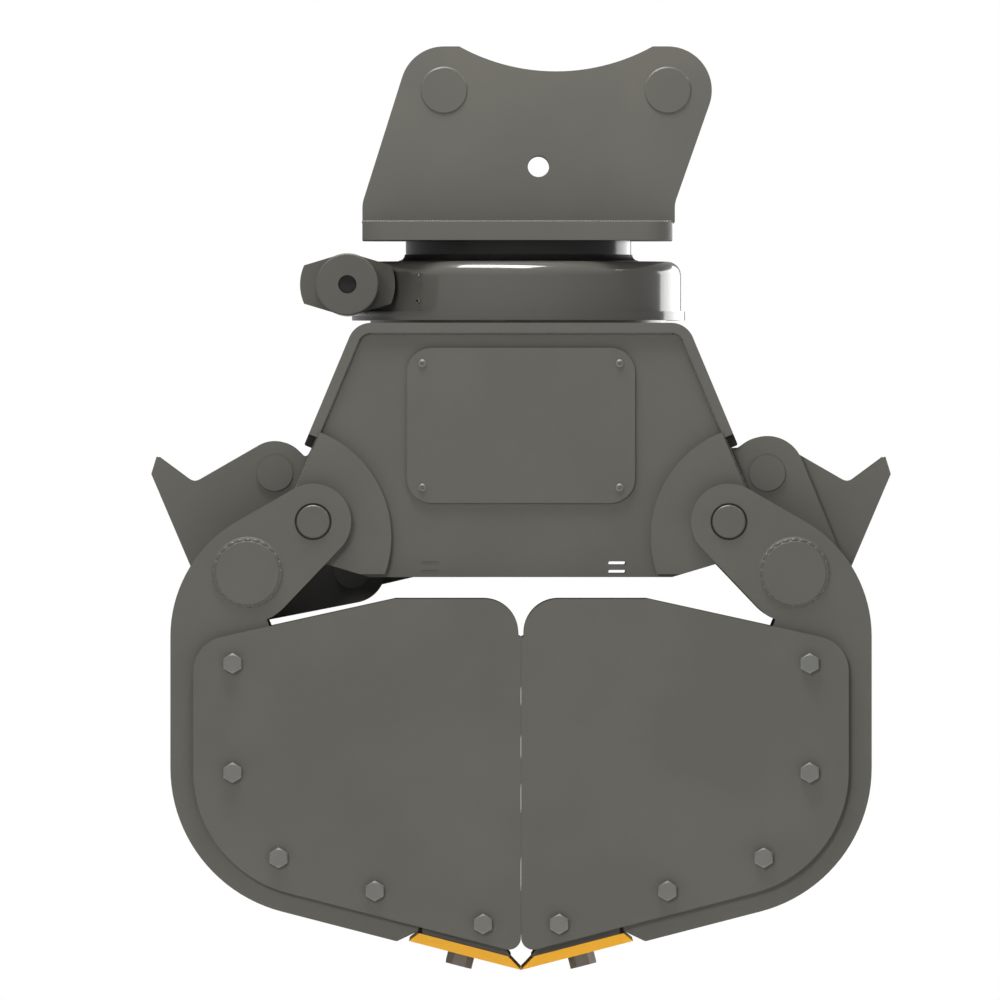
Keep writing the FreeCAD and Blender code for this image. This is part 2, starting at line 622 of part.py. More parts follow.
def make_slew():
    ring_top = HOUSING_TOP - HOUSING_TOP_WALL - 2
    neck = turned([(NECK_BORE_R, FLANGE_TOP + 10), (BEARING_RING_R, FLANGE_TOP + 10),
                   (BEARING_RING_R, ring_top),
                   (NECK_R, ring_top), (NECK_R, BASE_BOTTOM), (NECK_BORE_R, BASE_BOTTOM)])
    drilled = around(round_z(NECK_BOLT_CIRCLE_R, 0, NECK_BOLT_R,
                             BASE_BOTTOM - NECK_BOLT_DEPTH - NECK_BOLT_ROOM,
                              BASE_BOTTOM + 1),
                     NECK_BOLT_COUNT, 180 / NECK_BOLT_COUNT)
    save("neck_ring", [neck.cut(drilled)], SLEW_X)
    stud = round_z(NECK_BOLT_CIRCLE_R, 0, NECK_BOLT_R - WELD_GAP, BASE_BOTTOM - NECK_BOLT_DEPTH, BASE_TOP)
    head = hexagon_y((NECK_BOLT_CIRCLE_R, 0), 3 * NECK_BOLT_R, 0, 15)
    head.rotate(V(0, 0, 0), V(1, 0, 0), 90)
    head.translate(V(0, 0, BASE_TOP))
    save("neck_bolts", around(united([stud, head]), NECK_BOLT_COUNT, 180 / NECK_BOLT_COUNT), SLEW_X)
    save("ring_gear", [ring_gear()], SLEW_X)
    race_bottom = GEAR_Z + GEAR_WIDTH / 2 + SEAT
    race_top = HOUSING_TOP - HOUSING_TOP_WALL
    race_inner = BEARING_RING_R + SEAT
    race_outer = GEAR_PITCH_R - GEAR_TOOTH_DEPTH
    save("slew_race", [turned([(race_inner, race_bottom), (race_outer, race_bottom),
                               (race_outer, race_top), (race_inner, race_top)])], SLEW_X)

    seal_r = NECK_R + SEAT + SEAL_WIDTH
    body = round_z(0, 0, HOUSING_R, SPACER_TOP, HOUSING_TOP)
    body = body.makeFillet(HOUSING_EDGE_R, [e for e in body.Edges if e.BoundBox.ZMin > HOUSING_TOP - 1])
    centre = (-WORM_X, GEAR_Z)
    outside = united([body, round_z(0, 0, FLANGE_R, SPACER_TOP, FLANGE_TOP),
                      round_y(centre, WORM_TUBE_R, -WORM_TUBE_HALF, WORM_TUBE_HALF)])
    cavity = turned([(0, SPACER_TOP - 1), (FLANGE_INNER_R, SPACER_TOP - 1), (FLANGE_INNER_R, FLANGE_TOP + 8),
                     (HOUSING_R - HOUSING_WALL, FLANGE_TOP + 8),
                     (HOUSING_R - HOUSING_WALL, HOUSING_TOP - HOUSING_TOP_WALL),
                     (seal_r, HOUSING_TOP - HOUSING_TOP_WALL),
                     (seal_r, HOUSING_TOP + 1), (0, HOUSING_TOP + 1)])
    tube_bore = round_y(centre, WORM_TUBE_R - WORM_TUBE_WALL, -WORM_TUBE_HALF - 1, WORM_TUBE_HALF + 1)
    tapped = around(round_z(SLEW_BOLT_CIRCLE_R, 0, SLEW_BOLT_R, SPACER_TOP - 1, FLANGE_TOP + 1),
                    SLEW_BOLT_COUNT, 180 / SLEW_BOLT_COUNT)
    save("slew_housing", [outside.cut([cavity, tube_bore] + tapped)], SLEW_X)
    seal_bottom = HOUSING_TOP - HOUSING_TOP_WALL + SEAT
    lip_foot = NECK_R + SEAT + SEAL_LIP_EDGE + SEAL_LIP_R
    lip_top = HOUSING_TOP + SEAL_LIP_EDGE + SEAL_LIP_R
    lip = []
    for i in range(SEAL_LIP_STEPS + 1):
        angle = math.pi / 2 * i / SEAL_LIP_STEPS
        lip.append((lip_foot - SEAL_LIP_R * math.sin(angle), lip_top - SEAL_LIP_R * math.cos(angle)))
    save("slew_seal", [turned([(NECK_R + SEAT, seal_bottom), (seal_r, seal_bottom), (seal_r, HOUSING_TOP),
                               (lip_foot, HOUSING_TOP)] + lip + [(NECK_R + SEAT, lip_top)])], SLEW_X)
    spacer = turned([(FLANGE_INNER_R, ROOF_TOP), (SPACER_R, ROOF_TOP), (SPACER_R, SPACER_TOP),
                     (FLANGE_INNER_R, SPACER_TOP)])
    bolt_holes = around(round_z(SLEW_BOLT_CIRCLE_R, 0, SLEW_BOLT_R + 1, ROOF_TOP - 1, SPACER_TOP + 1),
                        SLEW_BOLT_COUNT, 180 / SLEW_BOLT_COUNT)
    save("slew_spacer", [spacer.cut(bolt_holes)], SLEW_X)
    stud = round_z(SLEW_BOLT_CIRCLE_R, 0, SLEW_BOLT_R - WELD_GAP, ROOF_TOP - PLATE, FLANGE_TOP - 2)
    head = hexagon_y((SLEW_BOLT_CIRCLE_R, 0), 3 * SLEW_BOLT_R, 0, 13)
    head.rotate(V(0, 0, 0), V(1, 0, 0), 90)
    head.translate(V(0, 0, ROOF_TOP - PLATE - 13))
    save("slew_bolts", around(united([stud, head]), SLEW_BOLT_COUNT, 180 / SLEW_BOLT_COUNT), SLEW_X)

    motor_end = -WORM_TUBE_HALF - MOTOR_FLANGE_T - MOTOR_LENGTH
    motor = round_y(centre, WORM_TUBE_R, motor_end, -WORM_TUBE_HALF - MOTOR_FLANGE_T)
    motor = motor.makeFillet(4, [e for e in motor.Edges if e.BoundBox.YMax < motor_end + 1])
    motor = united([motor, motor_flange()])
    port = round_y(centre, MOTOR_PORT_R, motor_end - 1, motor_end + MOTOR_PORT_DEPTH)
    seat = round_y(centre, WORM_JOURNAL_R + RUNNING, -WORM_TUBE_HALF - 1, -WORM_TUBE_HALF + 1)
    save("slew_motor", [motor.cut([port, seat])], SLEW_X)
    cap = round_y(centre, WORM_TUBE_R, WORM_TUBE_HALF, WORM_TUBE_HALF + CAP_THICKNESS)
    screws = []
    for i in range(6):
        angle = i * math.pi / 3
        reach = WORM_TUBE_R - WORM_TUBE_WALL
        spot = (centre[0] + reach * math.cos(angle), centre[1] + reach * math.sin(angle))
        screws.append(hexagon_y(spot, 10, WORM_TUBE_HALF + CAP_THICKNESS, WORM_TUBE_HALF + CAP_THICKNESS + 5))
    save("worm_end_cap", [united([cap] + screws)], SLEW_X)
    save("worm_shaft", [worm()], SLEW_X)


def make_swivel():
    sleeve_top = ROOF_TOP - PLATE
    sleeve_bottom = sleeve_top - SWIVEL_SLEEVE_HEIGHT
    boss_top = BASE_TOP + SWIVEL_HEAD_HEIGHT
    head_top = boss_top - PORT_BOSS_HEIGHT
    core = united([round_z(0, 0, SWIVEL_SHAFT_R, sleeve_bottom - SWIVEL_TAIL, BASE_TOP),
                   round_z(0, 0, SWIVEL_HEAD_R, BASE_TOP, head_top)])
    bosses = []
    for x, y, radius in ((PORT_OFFSET, 0, PORT_R), (-PORT_OFFSET, 0, PORT_R),
                         (0, PORT_OFFSET, SMALL_PORT_R), (0, -PORT_OFFSET, SMALL_PORT_R)):
        boss = round_z(x, y, radius + PORT_BOSS_WALL, head_top, boss_top)
        bosses.append(boss.cut(round_z(x, y, radius, boss_top - PORT_DEPTH, boss_top + 1)))
    save("swivel_core", [core] + bosses, SLEW_X)
    sleeve = turned([(SWIVEL_SHAFT_R + RUNNING, sleeve_bottom), (SWIVEL_SLEEVE_R, sleeve_bottom),
                     (SWIVEL_SLEEVE_R, sleeve_top), (SWIVEL_SHAFT_R + RUNNING, sleeve_top)])
    save("swivel_sleeve", [sleeve], SLEW_X)


# Frame box

def wall_point(z, inward=0):
    """Point on the slanted wall's outer face at height z, or this far inside it."""
    x = ROOF_HALF_LENGTH + (ROOF_TOP - z) / math.tan(WALL_TILT)
    return (x - inward / math.sin(WALL_TILT), z)


def frame_side_outline():
    """Corners of the side plate without its pivot lobes."""
    inner_r = ROOF_BEND_R - PLATE
    slant = math.tan(WALL_TILT / 2)
    top_z = ROOF_TOP - PLATE
    top_x = ROOF_HALF_LENGTH - PLATE * slant
    rise = math.radians(BOTTOM_RISE_DEG)
    touch = (PIVOT_X + LOBE_R * math.sin(rise), PIVOT_Z - LOBE_R * math.cos(rise))
    waist = wall_point(PIVOT_Z + LOBE_R / 2, PLATE)
    half = [(top_x, top_z, inner_r), waist, (PIVOT_X, PIVOT_Z), touch, (BOTTOM_FLAT_HALF, FRAME_BOTTOM)]
    mirrored = [(-corner[0],) + tuple(corner[1:]) for corner in reversed(half)]
    return half + mirrored


def frame_side_plate(y_from, y_to):
    body = plate(frame_side_outline(), y_from, y_to)
    lobes = [round_y((side * PIVOT_X, PIVOT_Z), LOBE_R, y_from, y_to) for side in (LEFT, RIGHT)]
    return united([body] + lobes)


def slit_bars(x, gap, y_from, y_to):
    """The two flat bars, one above the other, that fill a pair of slits but for this gap."""
    half = SLIT_LENGTH / 2 - gap
    rise = SLIT_HEIGHT / 2 - gap
    bars = []
    for row in range(2):
        z = FRAME_BOTTOM + SLIT_ABOVE_BOTTOM + row * SLIT_PITCH
        corners = [(x - half, z - rise), (x + half, z - rise), (x + half, z + rise), (x - half, z + rise)]
        bars.append(plate([corner + (SLIT_END_R - gap,) for corner in corners], y_from, y_to))
    return bars


def tab_plate():
    """Small plate inside the side plate, its two tabs welded in the left slits."""
    middle = FRAME_BOTTOM + SLIT_ABOVE_BOTTOM + SLIT_PITCH / 2
    half = (SLIT_PITCH + SLIT_HEIGHT) / 2 + TAB_PLATE_MARGIN - SEAT
    back = block(SLIT_LEFT_X - TAB_PLATE_LENGTH / 2, SLIT_LEFT_X + TAB_PLATE_LENGTH / 2,
                 SIDE_INNER - TAB_PLATE_THICKNESS, SIDE_INNER, middle - half, middle + half)
    return united([back] + slit_bars(SLIT_LEFT_X, WELD_GAP, SIDE_INNER - 1, SIDE_OUTER - TAB_DEPTH))


def make_frame():
    foot = wall_point(WALL_FOOT_Z)
    path = [(-foot[0], foot[1], 0), (-ROOF_HALF_LENGTH, ROOF_TOP, ROOF_BEND_R),
            (ROOF_HALF_LENGTH, ROOF_TOP, ROOF_BEND_R), (foot[0], foot[1], 0)]
    roof = strip(path, PLATE, -ROOF_HALF_WIDTH, ROOF_HALF_WIDTH)
    cuts = around(round_z(SLEW_BOLT_CIRCLE_R, 0, SLEW_BOLT_R + 1, ROOF_TOP - PLATE - 1, ROOF_TOP + 1),
                  SLEW_BOLT_COUNT, 180 / SLEW_BOLT_COUNT)
    cuts.append(round_z(0, 0, SWIVEL_SHAFT_R + SEAT, ROOF_TOP - PLATE - 1, ROOF_TOP + 1))
    for hole in cuts:
        hole.translate(V(SLEW_X, 0, 0))
    middle = LINK_Y + LINK_THICKNESS + WALL_SLOT_GAP
    fin_from = FIN_Y - WALL_SLOT_GAP
    for side, last_face in ((LEFT, FIN_Y + LUG_THICKNESS), (RIGHT, CHEEK_Y + CHEEK_THICKNESS)):
        openings = [block(WALL_SLOT_X, WALL_FOOT_X + PLATE, -middle, middle, 0, WALL_SLOT_TOP)]
        openings += front_and_rear(block(WALL_SLOT_X, WALL_FOOT_X + PLATE,
                                         fin_from, last_face + WALL_SLOT_GAP,
                                         0, WALL_SLOT_TOP))
        cuts += [on_side(opening, side) for opening in openings]
    roof = roof.cut(cuts)
    save("frame_roof", [roof])

    side_plate = frame_side_plate(SIDE_INNER, SIDE_OUTER)
    cuts = []
    for side in (LEFT, RIGHT):
        cuts.append(round_y((side * PIVOT_X, PIVOT_Z), PIVOT_PIN_R + WELD_GAP,
                            SIDE_INNER - 1, DOUBLER_OUTER + 1))
    for x in (SLIT_LEFT_X, SLIT_RIGHT_X):
        cuts += slit_bars(x, 0, SIDE_INNER - 1, SIDE_OUTER + 1)
    window_half = COVER_HALF - COVER_LAP
    cuts.append(plate([(-window_half, COVER_BOTTOM + COVER_LAP, COVER_WINDOW_R),
                       (window_half, COVER_BOTTOM + COVER_LAP, COVER_WINDOW_R),
                       (window_half, COVER_TOP - COVER_LAP, COVER_WINDOW_R),
                       (-window_half, COVER_TOP - COVER_LAP, COVER_WINDOW_R)],
                      SIDE_INNER - 1, SIDE_OUTER + 1))
    screw_places = []
    for side in (LEFT, RIGHT):
        for z in (COVER_BOTTOM + COVER_SCREW_INSET, COVER_TOP - COVER_SCREW_INSET):
            screw_places.append((side * (COVER_HALF - COVER_SCREW_INSET), z))
    tapped = [round_y(place, COVER_SCREW_R, SIDE_INNER - 1, SIDE_OUTER + 1) for place in screw_places]
    side_rear = side_plate.cut(cuts + tapped)
    save("frame_side_rear", [side_rear])
    save("frame_side_front", [side_rear.mirror(V(0, 0, 0), V(0, 1, 0))])

    cover = plate([(-COVER_HALF, COVER_BOTTOM, COVER_CORNER_R), (COVER_HALF, COVER_BOTTOM, COVER_CORNER_R),
                   (COVER_HALF, COVER_TOP, COVER_CORNER_R), (-COVER_HALF, COVER_TOP, COVER_CORNER_R)],
                  SIDE_OUTER, SIDE_OUTER + COVER_THICKNESS)
    cover = cover.cut([round_y(place, COVER_SCREW_R + 0.5, SIDE_OUTER - 1, SIDE_OUTER + COVER_THICKNESS + 1)
                       for place in screw_places])
    save("access_covers", front_and_rear(cover))
    screws = []
    for place in screw_places:
        face = SIDE_OUTER + COVER_THICKNESS
        screw = united([round_y(place, COVER_SCREW_R - WELD_GAP, SIDE_INNER + 2, face),
                        hexagon_y(place, 3.2 * COVER_SCREW_R, face, face + 5)])
        screws += front_and_rear(screw)
    save("cover_screws", screws)

    doubler = frame_side_plate(SIDE_OUTER, DOUBLER_OUTER)
    doubler = doubler.common(round_y((DOUBLER_X, DOUBLER_Z), DOUBLER_R, SIDE_OUTER, DOUBLER_OUTER))
    foot_line = block(0, WALL_FOOT_X, SIDE_OUTER - 1, DOUBLER_OUTER + 1, 0, FRAME_BOTTOM + DOUBLER_INSET)
    doubler = doubler.cut([foot_line, round_y(PIVOT, PIVOT_PIN_R + WELD_GAP,
                                               SIDE_OUTER - 1, DOUBLER_OUTER + 1)])
    doublers = []
    for shape in front_and_rear(doubler):
        doublers += left_and_right(shape)
    save("frame_doublers", doublers)

    rib_bottom = ROOF_TOP - PLATE - RIB_DEPTH
    rib = block(RIB_X - RIB_THICKNESS / 2, RIB_X + RIB_THICKNESS / 2, -SIDE_INNER, SIDE_INNER,
                rib_bottom, ROOF_TOP - PLATE)
    save("frame_ribs", left_and_right(rib) + front_and_rear(tab_plate()))

    pins = []
    pin = round_y(PIVOT, PIVOT_PIN_R, SIDE_INNER, ARM_OUTER + PIN_PROUD)
    pin = pin.makeChamfer(2, [e for e in pin.Edges if e.BoundBox.YMin > ARM_OUTER])
    for shape in front_and_rear(pin):
        pins += left_and_right(shape)
    save("pivot_pins", pins)

    along = V(math.cos(WALL_TILT), 0, -math.sin(WALL_TILT))
    corner = V(foot[0], 0, foot[1])
    inner = corner + V(-math.sin(WALL_TILT), 0, -math.cos(WALL_TILT)) * PLATE
    low = corner + along * STOP_LENGTH
    low_inner = inner + along * STOP_LENGTH
    pad = plate([(corner.x, corner.z), (low.x, low.z, 4), (low_inner.x, low_inner.z, 4), (inner.x, inner.z)],
                SIDE_INNER + 1, SIDE_OUTER)
    stops = []
    for shape in front_and_rear(pad):
        stops += left_and_right(shape)
    save("wall_stops", stops)


# Shells

def arm_plate():
    """One arm: the ear round the pivot and the tube, and the C-shaped band below it."""
    ear = link_plate(PIVOT, EAR_R, TUBE, TUBE_BOSS_R, ARM_INNER, ARM_OUTER)
    ear_touch, tube_touch = outer_tangent(PIVOT, EAR_R, TUBE, TUBE_BOSS_R, 1)
    run = ((tube_touch[0] - ear_touch[0]), (tube_touch[1] - ear_touch[1]))
    shoulder_z = ear_touch[1] + run[1] * (SHELL_BACK - ear_touch[0]) / run[0]
    heel = on_lip(SHELL_BACK, -ARM_BELOW_LIP)
    toe = on_lip(TOE_X, -ARM_BELOW_LIP)
    toe_top = (TOE_X - TOE_BACK, toe[1] + TOE_RISE)
    step = EDGE_THICKNESS + LIP_THICKNESS + SEAT
    lip_low = on_lip(TOE_X - TOE_BACK - 8, step)
    front_low = on_lip(24, step)
    band = ARM_BAND / 2
    front_high = on_lip(24, step + band)
    inner_x = SHELL_BACK - ARM_BAND
    inner_heel = on_lip(inner_x, step + band)
    inner_r = HEEL_R - ARM_BAND
    body = plate([tube_touch, (SHELL_BACK, shoulder_z, SHOULDER_R), heel + (HEEL_R,), toe + (8,),
                  toe_top, lip_low, front_low, front_high, inner_heel + (inner_r,),
                  (inner_x, NOTCH_Z - THROAT_DROP, THROAT_R), (NOTCH_X, NOTCH_Z), TUBE], ARM_INNER, ARM_OUTER)
    whole = united([ear, body])
    cuts = [round_y(PIVOT, BUSH_R, ARM_INNER - 1, ARM_OUTER + 1),
            round_y(TUBE, TUBE_R + WELD_GAP, ARM_INNER - 1, ARM_OUTER + 1)]
    for place in SIDE_BOLT_PLACES:
        cuts.append(round_y(place, SIDE_BOLT_R + 1, ARM_INNER - 1, ARM_OUTER + 1))
    return whole.cut(cuts)


def side_plate():
    """Bolt-on side plate with relief notches in its closing edge."""
    back_x = SHELL_BACK - SIDE_PLATE_INSET
    fall = math.tan(math.radians(SIDE_PLATE_FALL_DEG))
    corner_z = SIDE_PLATE_TOP - (back_x - SIDE_PLATE_FLAT) * fall
    body = plate([(CLOSING_GAP_ABOVE, SIDE_PLATE_TOP, SIDE_PLATE_CORNER_R), (SIDE_PLATE_FLAT, SIDE_PLATE_TOP),
                  (back_x, corner_z, SIDE_PLATE_CORNER_R),
                  on_lip(back_x, SIDE_PLATE_OFFSET) + (SIDE_PLATE_HEEL_R,),
                  on_lip(CLOSING_GAP, SIDE_PLATE_OFFSET) + (SIDE_PLATE_TIP_R,),
                   (CLOSING_GAP, CLOSING_GAP_TOP - 2),
                  (CLOSING_GAP_ABOVE, CLOSING_GAP_TOP)], ARM_OUTER, SIDE_PLATE_OUTER)
    cuts = []
    for low, high in RELIEF_LEVELS:
        cuts.append(block(CLOSING_GAP - 1, CLOSING_GAP + RELIEF_DEPTH, ARM_OUTER - 1, SIDE_PLATE_OUTER + 1,
                          low, high))
    for place in SIDE_BOLT_PLACES:
        cuts.append(round_y(place, SIDE_BOLT_R + 1, ARM_OUTER - 1, SIDE_PLATE_OUTER + 1))
    return body.cut(cuts)


def side_bolts():
    bolts = []
    for place in SIDE_BOLT_PLACES:
        nut_from = ARM_INNER - SIDE_BOLT_R * 1.6
        bolt = united([round_y(place, SIDE_BOLT_R, nut_from, SIDE_PLATE_OUTER),
                       hexagon_y(place, SIDE_BOLT_FLATS, SIDE_PLATE_OUTER, SIDE_PLATE_OUTER + SIDE_BOLT_HEAD),
                       hexagon_y(place, SIDE_BOLT_FLATS, nut_from, ARM_INNER)])
        bolts += front_and_rear(bolt)
    return bolts


def cutting_edge():
    """Wear edge under the lip, bevelled at both ends."""
    end = LIP_GAP + EDGE_LENGTH * math.cos(LIP_TILT)
    low_tip = on_lip(LIP_GAP, 0)
    high_tip = on_lip(LIP_GAP + EDGE_BEVEL, EDGE_THICKNESS)
    low_end = on_lip(end, 0)
    high_end = on_lip(end - EDGE_END_BEVEL, EDGE_THICKNESS)
    body = plate([low_tip, high_tip, high_end, low_end], -EDGE_HALF_WIDTH, EDGE_HALF_WIDTH)
    return body.cut([edge_bolt_shape(y, EDGE_BOLT_R + 1) for y in EDGE_BOLT_YS])


def edge_bolt_shape(y, radius, low=-2 * EDGE_THICKNESS, high=3 * EDGE_THICKNESS):
    """Round bar square to the lip at the edge bolts' place."""
    x, z = on_lip(EDGE_BOLT_X, 0)
    axis = V(-math.sin(LIP_TILT), 0, math.cos(LIP_TILT))
    return Part.makeCylinder(radius, high - low, V(x, y, z) + axis * low, axis)


def edge_bolts():
    """Countersunk bolts with their nuts below the cutting edge."""
    bolts = []
    stack = EDGE_THICKNESS + LIP_THICKNESS
    x, z = on_lip(EDGE_BOLT_X, 0)
    for y in EDGE_BOLT_YS:
        nut = hexagon_y((0, 0), EDGE_BOLT_FLATS, 0, EDGE_BOLT_NUT)
        nut.rotate(V(0, 0, 0), V(0, 1, 0), 30)
        nut.rotate(V(0, 0, 0), V(1, 0, 0), -90)
        nut.rotate(V(0, 0, 0), V(0, 1, 0), -LIP_ANGLE_DEG)
        nut.translate(V(x, y, z))
        bolts.append(united([nut, edge_bolt_shape(y, EDGE_BOLT_R, -EDGE_BOLT_NUT, stack)]))
    return bolts


def lip_plate():
    """Thick plate behind the cutting edge: full width in front of the arms, between them behind."""
    base = EDGE_THICKNESS
    top = EDGE_THICKNESS + LIP_THICKNESS
    start = LIP_GAP + LIP_SETBACK
    tongue = plate([on_lip(start, base), on_lip(start + EDGE_END_BEVEL, top), on_lip(LIP_TONGUE_X, top),
                    on_lip(LIP_TONGUE_X, base)], -ARM_OUTER + SEAT, ARM_OUTER - SEAT)
    tail = plate([on_lip(LIP_TONGUE_X - 5, base), on_lip(LIP_TONGUE_X - 5, top), on_lip(LIP_END_X, top),
                  on_lip(LIP_END_X, base)], -ARM_INNER, ARM_INNER)
    return united([tongue, tail]).cut([edge_bolt_shape(y, EDGE_BOLT_R + WELD_GAP) for y in EDGE_BOLT_YS])


def back_plate():
    """Curved back of the shell from the lip up to the cross tube, with its drain holes."""
    back_x = SHELL_BACK - BACK_OFFSET
    base = BACK_OFFSET - ARM_BELOW_LIP
    ear_touch, tube_touch = outer_tangent(PIVOT, EAR_R, TUBE, TUBE_BOSS_R, 1)
    slope = (tube_touch[1] - ear_touch[1]) / (tube_touch[0] - ear_touch[0])
    drop = BACK_OFFSET / math.cos(math.atan(slope))
    shoulder_z = ear_touch[1] + slope * (back_x - ear_touch[0]) - drop
    top_x = TUBE_X
    top_z = ear_touch[1] + slope * (top_x - ear_touch[0]) - drop
    path = [(top_x, top_z, 0), (back_x, shoulder_z, SHOULDER_R - BACK_OFFSET),
            on_lip(back_x, base) + (HEEL_R - BACK_OFFSET,), on_lip(LIP_END_X, base) + (0,)]
    body = strip(path, PLATE, -ARM_INNER, ARM_INNER)
    cuts = [round_y(TUBE, TUBE_R, -ARM_INNER - 1, ARM_INNER + 1),
            block(0, TUBE_X + TUBE_R / 2, -ARM_INNER - 1, ARM_INNER + 1,
                  TUBE_Z - TUBE_R, TUBE_Z + 3 * TUBE_R)]
    for y in DRAIN_YS:
        for z in DRAIN_LEVELS:
            cuts.append(Part.makeCylinder(DRAIN_R, 3 * PLATE, V(back_x - 2 * PLATE, y, z), V(1, 0, 0)))
        for x in LIP_DRAIN_XS:
            start = V(x, y, on_lip(x, 0)[1])
            axis = V(-math.sin(LIP_TILT), 0, math.cos(LIP_TILT))
            cuts.append(Part.makeCylinder(DRAIN_R, 6 * PLATE, start - axis * PLATE, axis))
    return body.cut(cuts + [lip_plate()])


def cross_tube():
    """Torsion tube, closed at both ends by caps that are welded in the arms with a fillet all round."""
    end = ARM_OUTER + WELD_HEIGHT
    tube = round_y(TUBE, TUBE_R, TUBE_CAP - end, end - TUBE_CAP)
    bore = round_y(TUBE, TUBE_R - TUBE_WALL, -end, end)
    cap = round_y(TUBE, TUBE_R, end - TUBE_CAP, end)
    weld = Part.makeCone(TUBE_R + WELD_WIDTH, TUBE_R, WELD_HEIGHT - 1,
                       V(TUBE_X, ARM_OUTER, TUBE_Z), V(0, 1, 0))
    return [tube.cut(bore)] + front_and_rear(united([cap, weld]))


def fin_plate(y_from, y_to):
    """Lug plate that carries the cylinder pin and ends in a pointed fin."""
    lug = link_plate(UPPER_PIN, FIN_BOSS_R, TUBE, TUBE_BOSS_R, y_from, y_to)
    notch = (FIN_NOTCH_X, FIN_NOTCH_Z)
    tip = (FIN_TIP_X, FIN_TIP_Z)
    boss_touch = outer_tangent(notch, 0, UPPER_PIN, FIN_BOSS_R, -1)[1]
    tip_low = (FIN_TIP_X + FIN_TIP_LEAN, FIN_TIP_Z - FIN_TIP_FLAT)
    tube_touch = outer_tangent(tip_low, 0, TUBE, TUBE_BOSS_R, 1)[1]
    fin = plate([UPPER_PIN, boss_touch, notch + (FIN_NOTCH_R,), tip + (FIN_TIP_R,),
                 tip_low + (FIN_TIP_LOW_R,),
                 tube_touch, TUBE], y_from, y_to)
    return united([lug, fin, shoulder(FIN_BOSS_R, (SHOULDER_DIP_X, SHOULDER_DIP_Z), y_from, y_to)])


def shoulder(boss_r, dip, y_from, y_to):
    """Inner shoulder of a lug: from its boss down to a dip, and up again beside the wall's foot."""
    touch = outer_tangent(dip, 0, UPPER_PIN, boss_r, 1)[1]
    return plate([UPPER_PIN, touch, dip + (SHOULDER_DIP_R,), (SHOULDER_TOP_X, SHOULDER_TOP_Z + 1),
                  (SHOULDER_INNER_X, SHOULDER_TOP_Z + 1), (SHOULDER_INNER_X, UPPER_PIN[1] - boss_r)],
                 y_from, y_to)


def make_shell(side, name):
    def put(piece, shapes):
        save(name + "_" + piece, [on_side(shape, side) for shape in shapes])

    put("arms", front_and_rear(arm_plate()))
    put("side_plates", front_and_rear(side_plate()))
    put("side_bolts", side_bolts())
    put("lip_plate", [lip_plate()])
    put("cutting_edge", [cutting_edge()])
    put("edge_bolts", edge_bolts())
    put("cross_tube", cross_tube())

    bush = round_y(PIVOT, BUSH_R, ARM_INNER, ARM_OUTER - BUSH_RECESS).cut(
        round_y(PIVOT, PIVOT_PIN_R + RUNNING, ARM_INNER - 1, ARM_OUTER + 1))
    put("bushes", front_and_rear(bush))

    tube_seat = round_y(TUBE, TUBE_R + WELD_GAP, -ARM_INNER, ARM_INNER)
    upper_bore = round_y(UPPER_PIN, CYLINDER_PIN_R + WELD_GAP, -ARM_INNER, ARM_INNER)
    lower_bore = round_y(LOWER_PIN, CYLINDER_PIN_R + WELD_GAP, -ARM_INNER, ARM_INNER)
    inner_to = INNER_LUG_Y + LUG_THICKNESS
    fin = fin_plate(FIN_Y, FIN_Y + LUG_THICKNESS)
    inner_lug = link_plate(UPPER_PIN, FIN_BOSS_R, TUBE, TUBE_BOSS_R, INNER_LUG_Y, inner_to)
    if side == LEFT:
        link_end = LINK_LUG_Y + LUG_THICKNESS
        lower = link_plate(LOWER_PIN, LINK_LUG_R, TUBE, TUBE_BOSS_R, INNER_LUG_Y, inner_to)
        inner_lug = united([inner_lug, lower])
        outer_lug = link_plate(LOWER_PIN, LINK_LUG_R, TUBE, TUBE_BOSS_R, LINK_LUG_Y, link_end)
        lug_bores = [tube_seat, upper_bore, lower_bore]
        pin_end = FIN_Y + LUG_THICKNESS + PIN_PROUD
        put("link_pin", [round_y(LOWER_PIN, CYLINDER_PIN_R, -link_end - PIN_PROUD, link_end + PIN_PROUD)])
    else:
        cheek_end = CHEEK_Y + CHEEK_THICKNESS
        outer_lug = united([link_plate(UPPER_PIN, CHEEK_BOSS_R, TUBE, TUBE_BOSS_R, CHEEK_Y, cheek_end),
                            shoulder(CHEEK_BOSS_R, (CHEEK_DIP_X, CHEEK_DIP_Z), CHEEK_Y, cheek_end)])
        lug_bores = [tube_seat, upper_bore]
        pin_end = cheek_end + PIN_PROUD
    put("cylinder_pin", [round_y(UPPER_PIN, CYLINDER_PIN_R, -pin_end, pin_end)])
    put("fin_plates", front_and_rear(fin.cut([tube_seat, upper_bore])))
    put("lug_plates", front_and_rear(inner_lug.cut(lug_bores)) + front_and_rear(outer_lug.cut(lug_bores)))
    slots = front_and_rear(fin) + front_and_rear(inner_lug) + front_and_rear(outer_lug)
    put("back_plate", [back_plate().cut(slots)])


# Cylinder and links

def round_x(radius, x_from, x_to):
    """Round bar along the cylinder's axis."""
    return Part.makeCylinder(radius, x_to - x_from, V(x_from, 0, UPPER_PIN[1]), V(1, 0, 0))


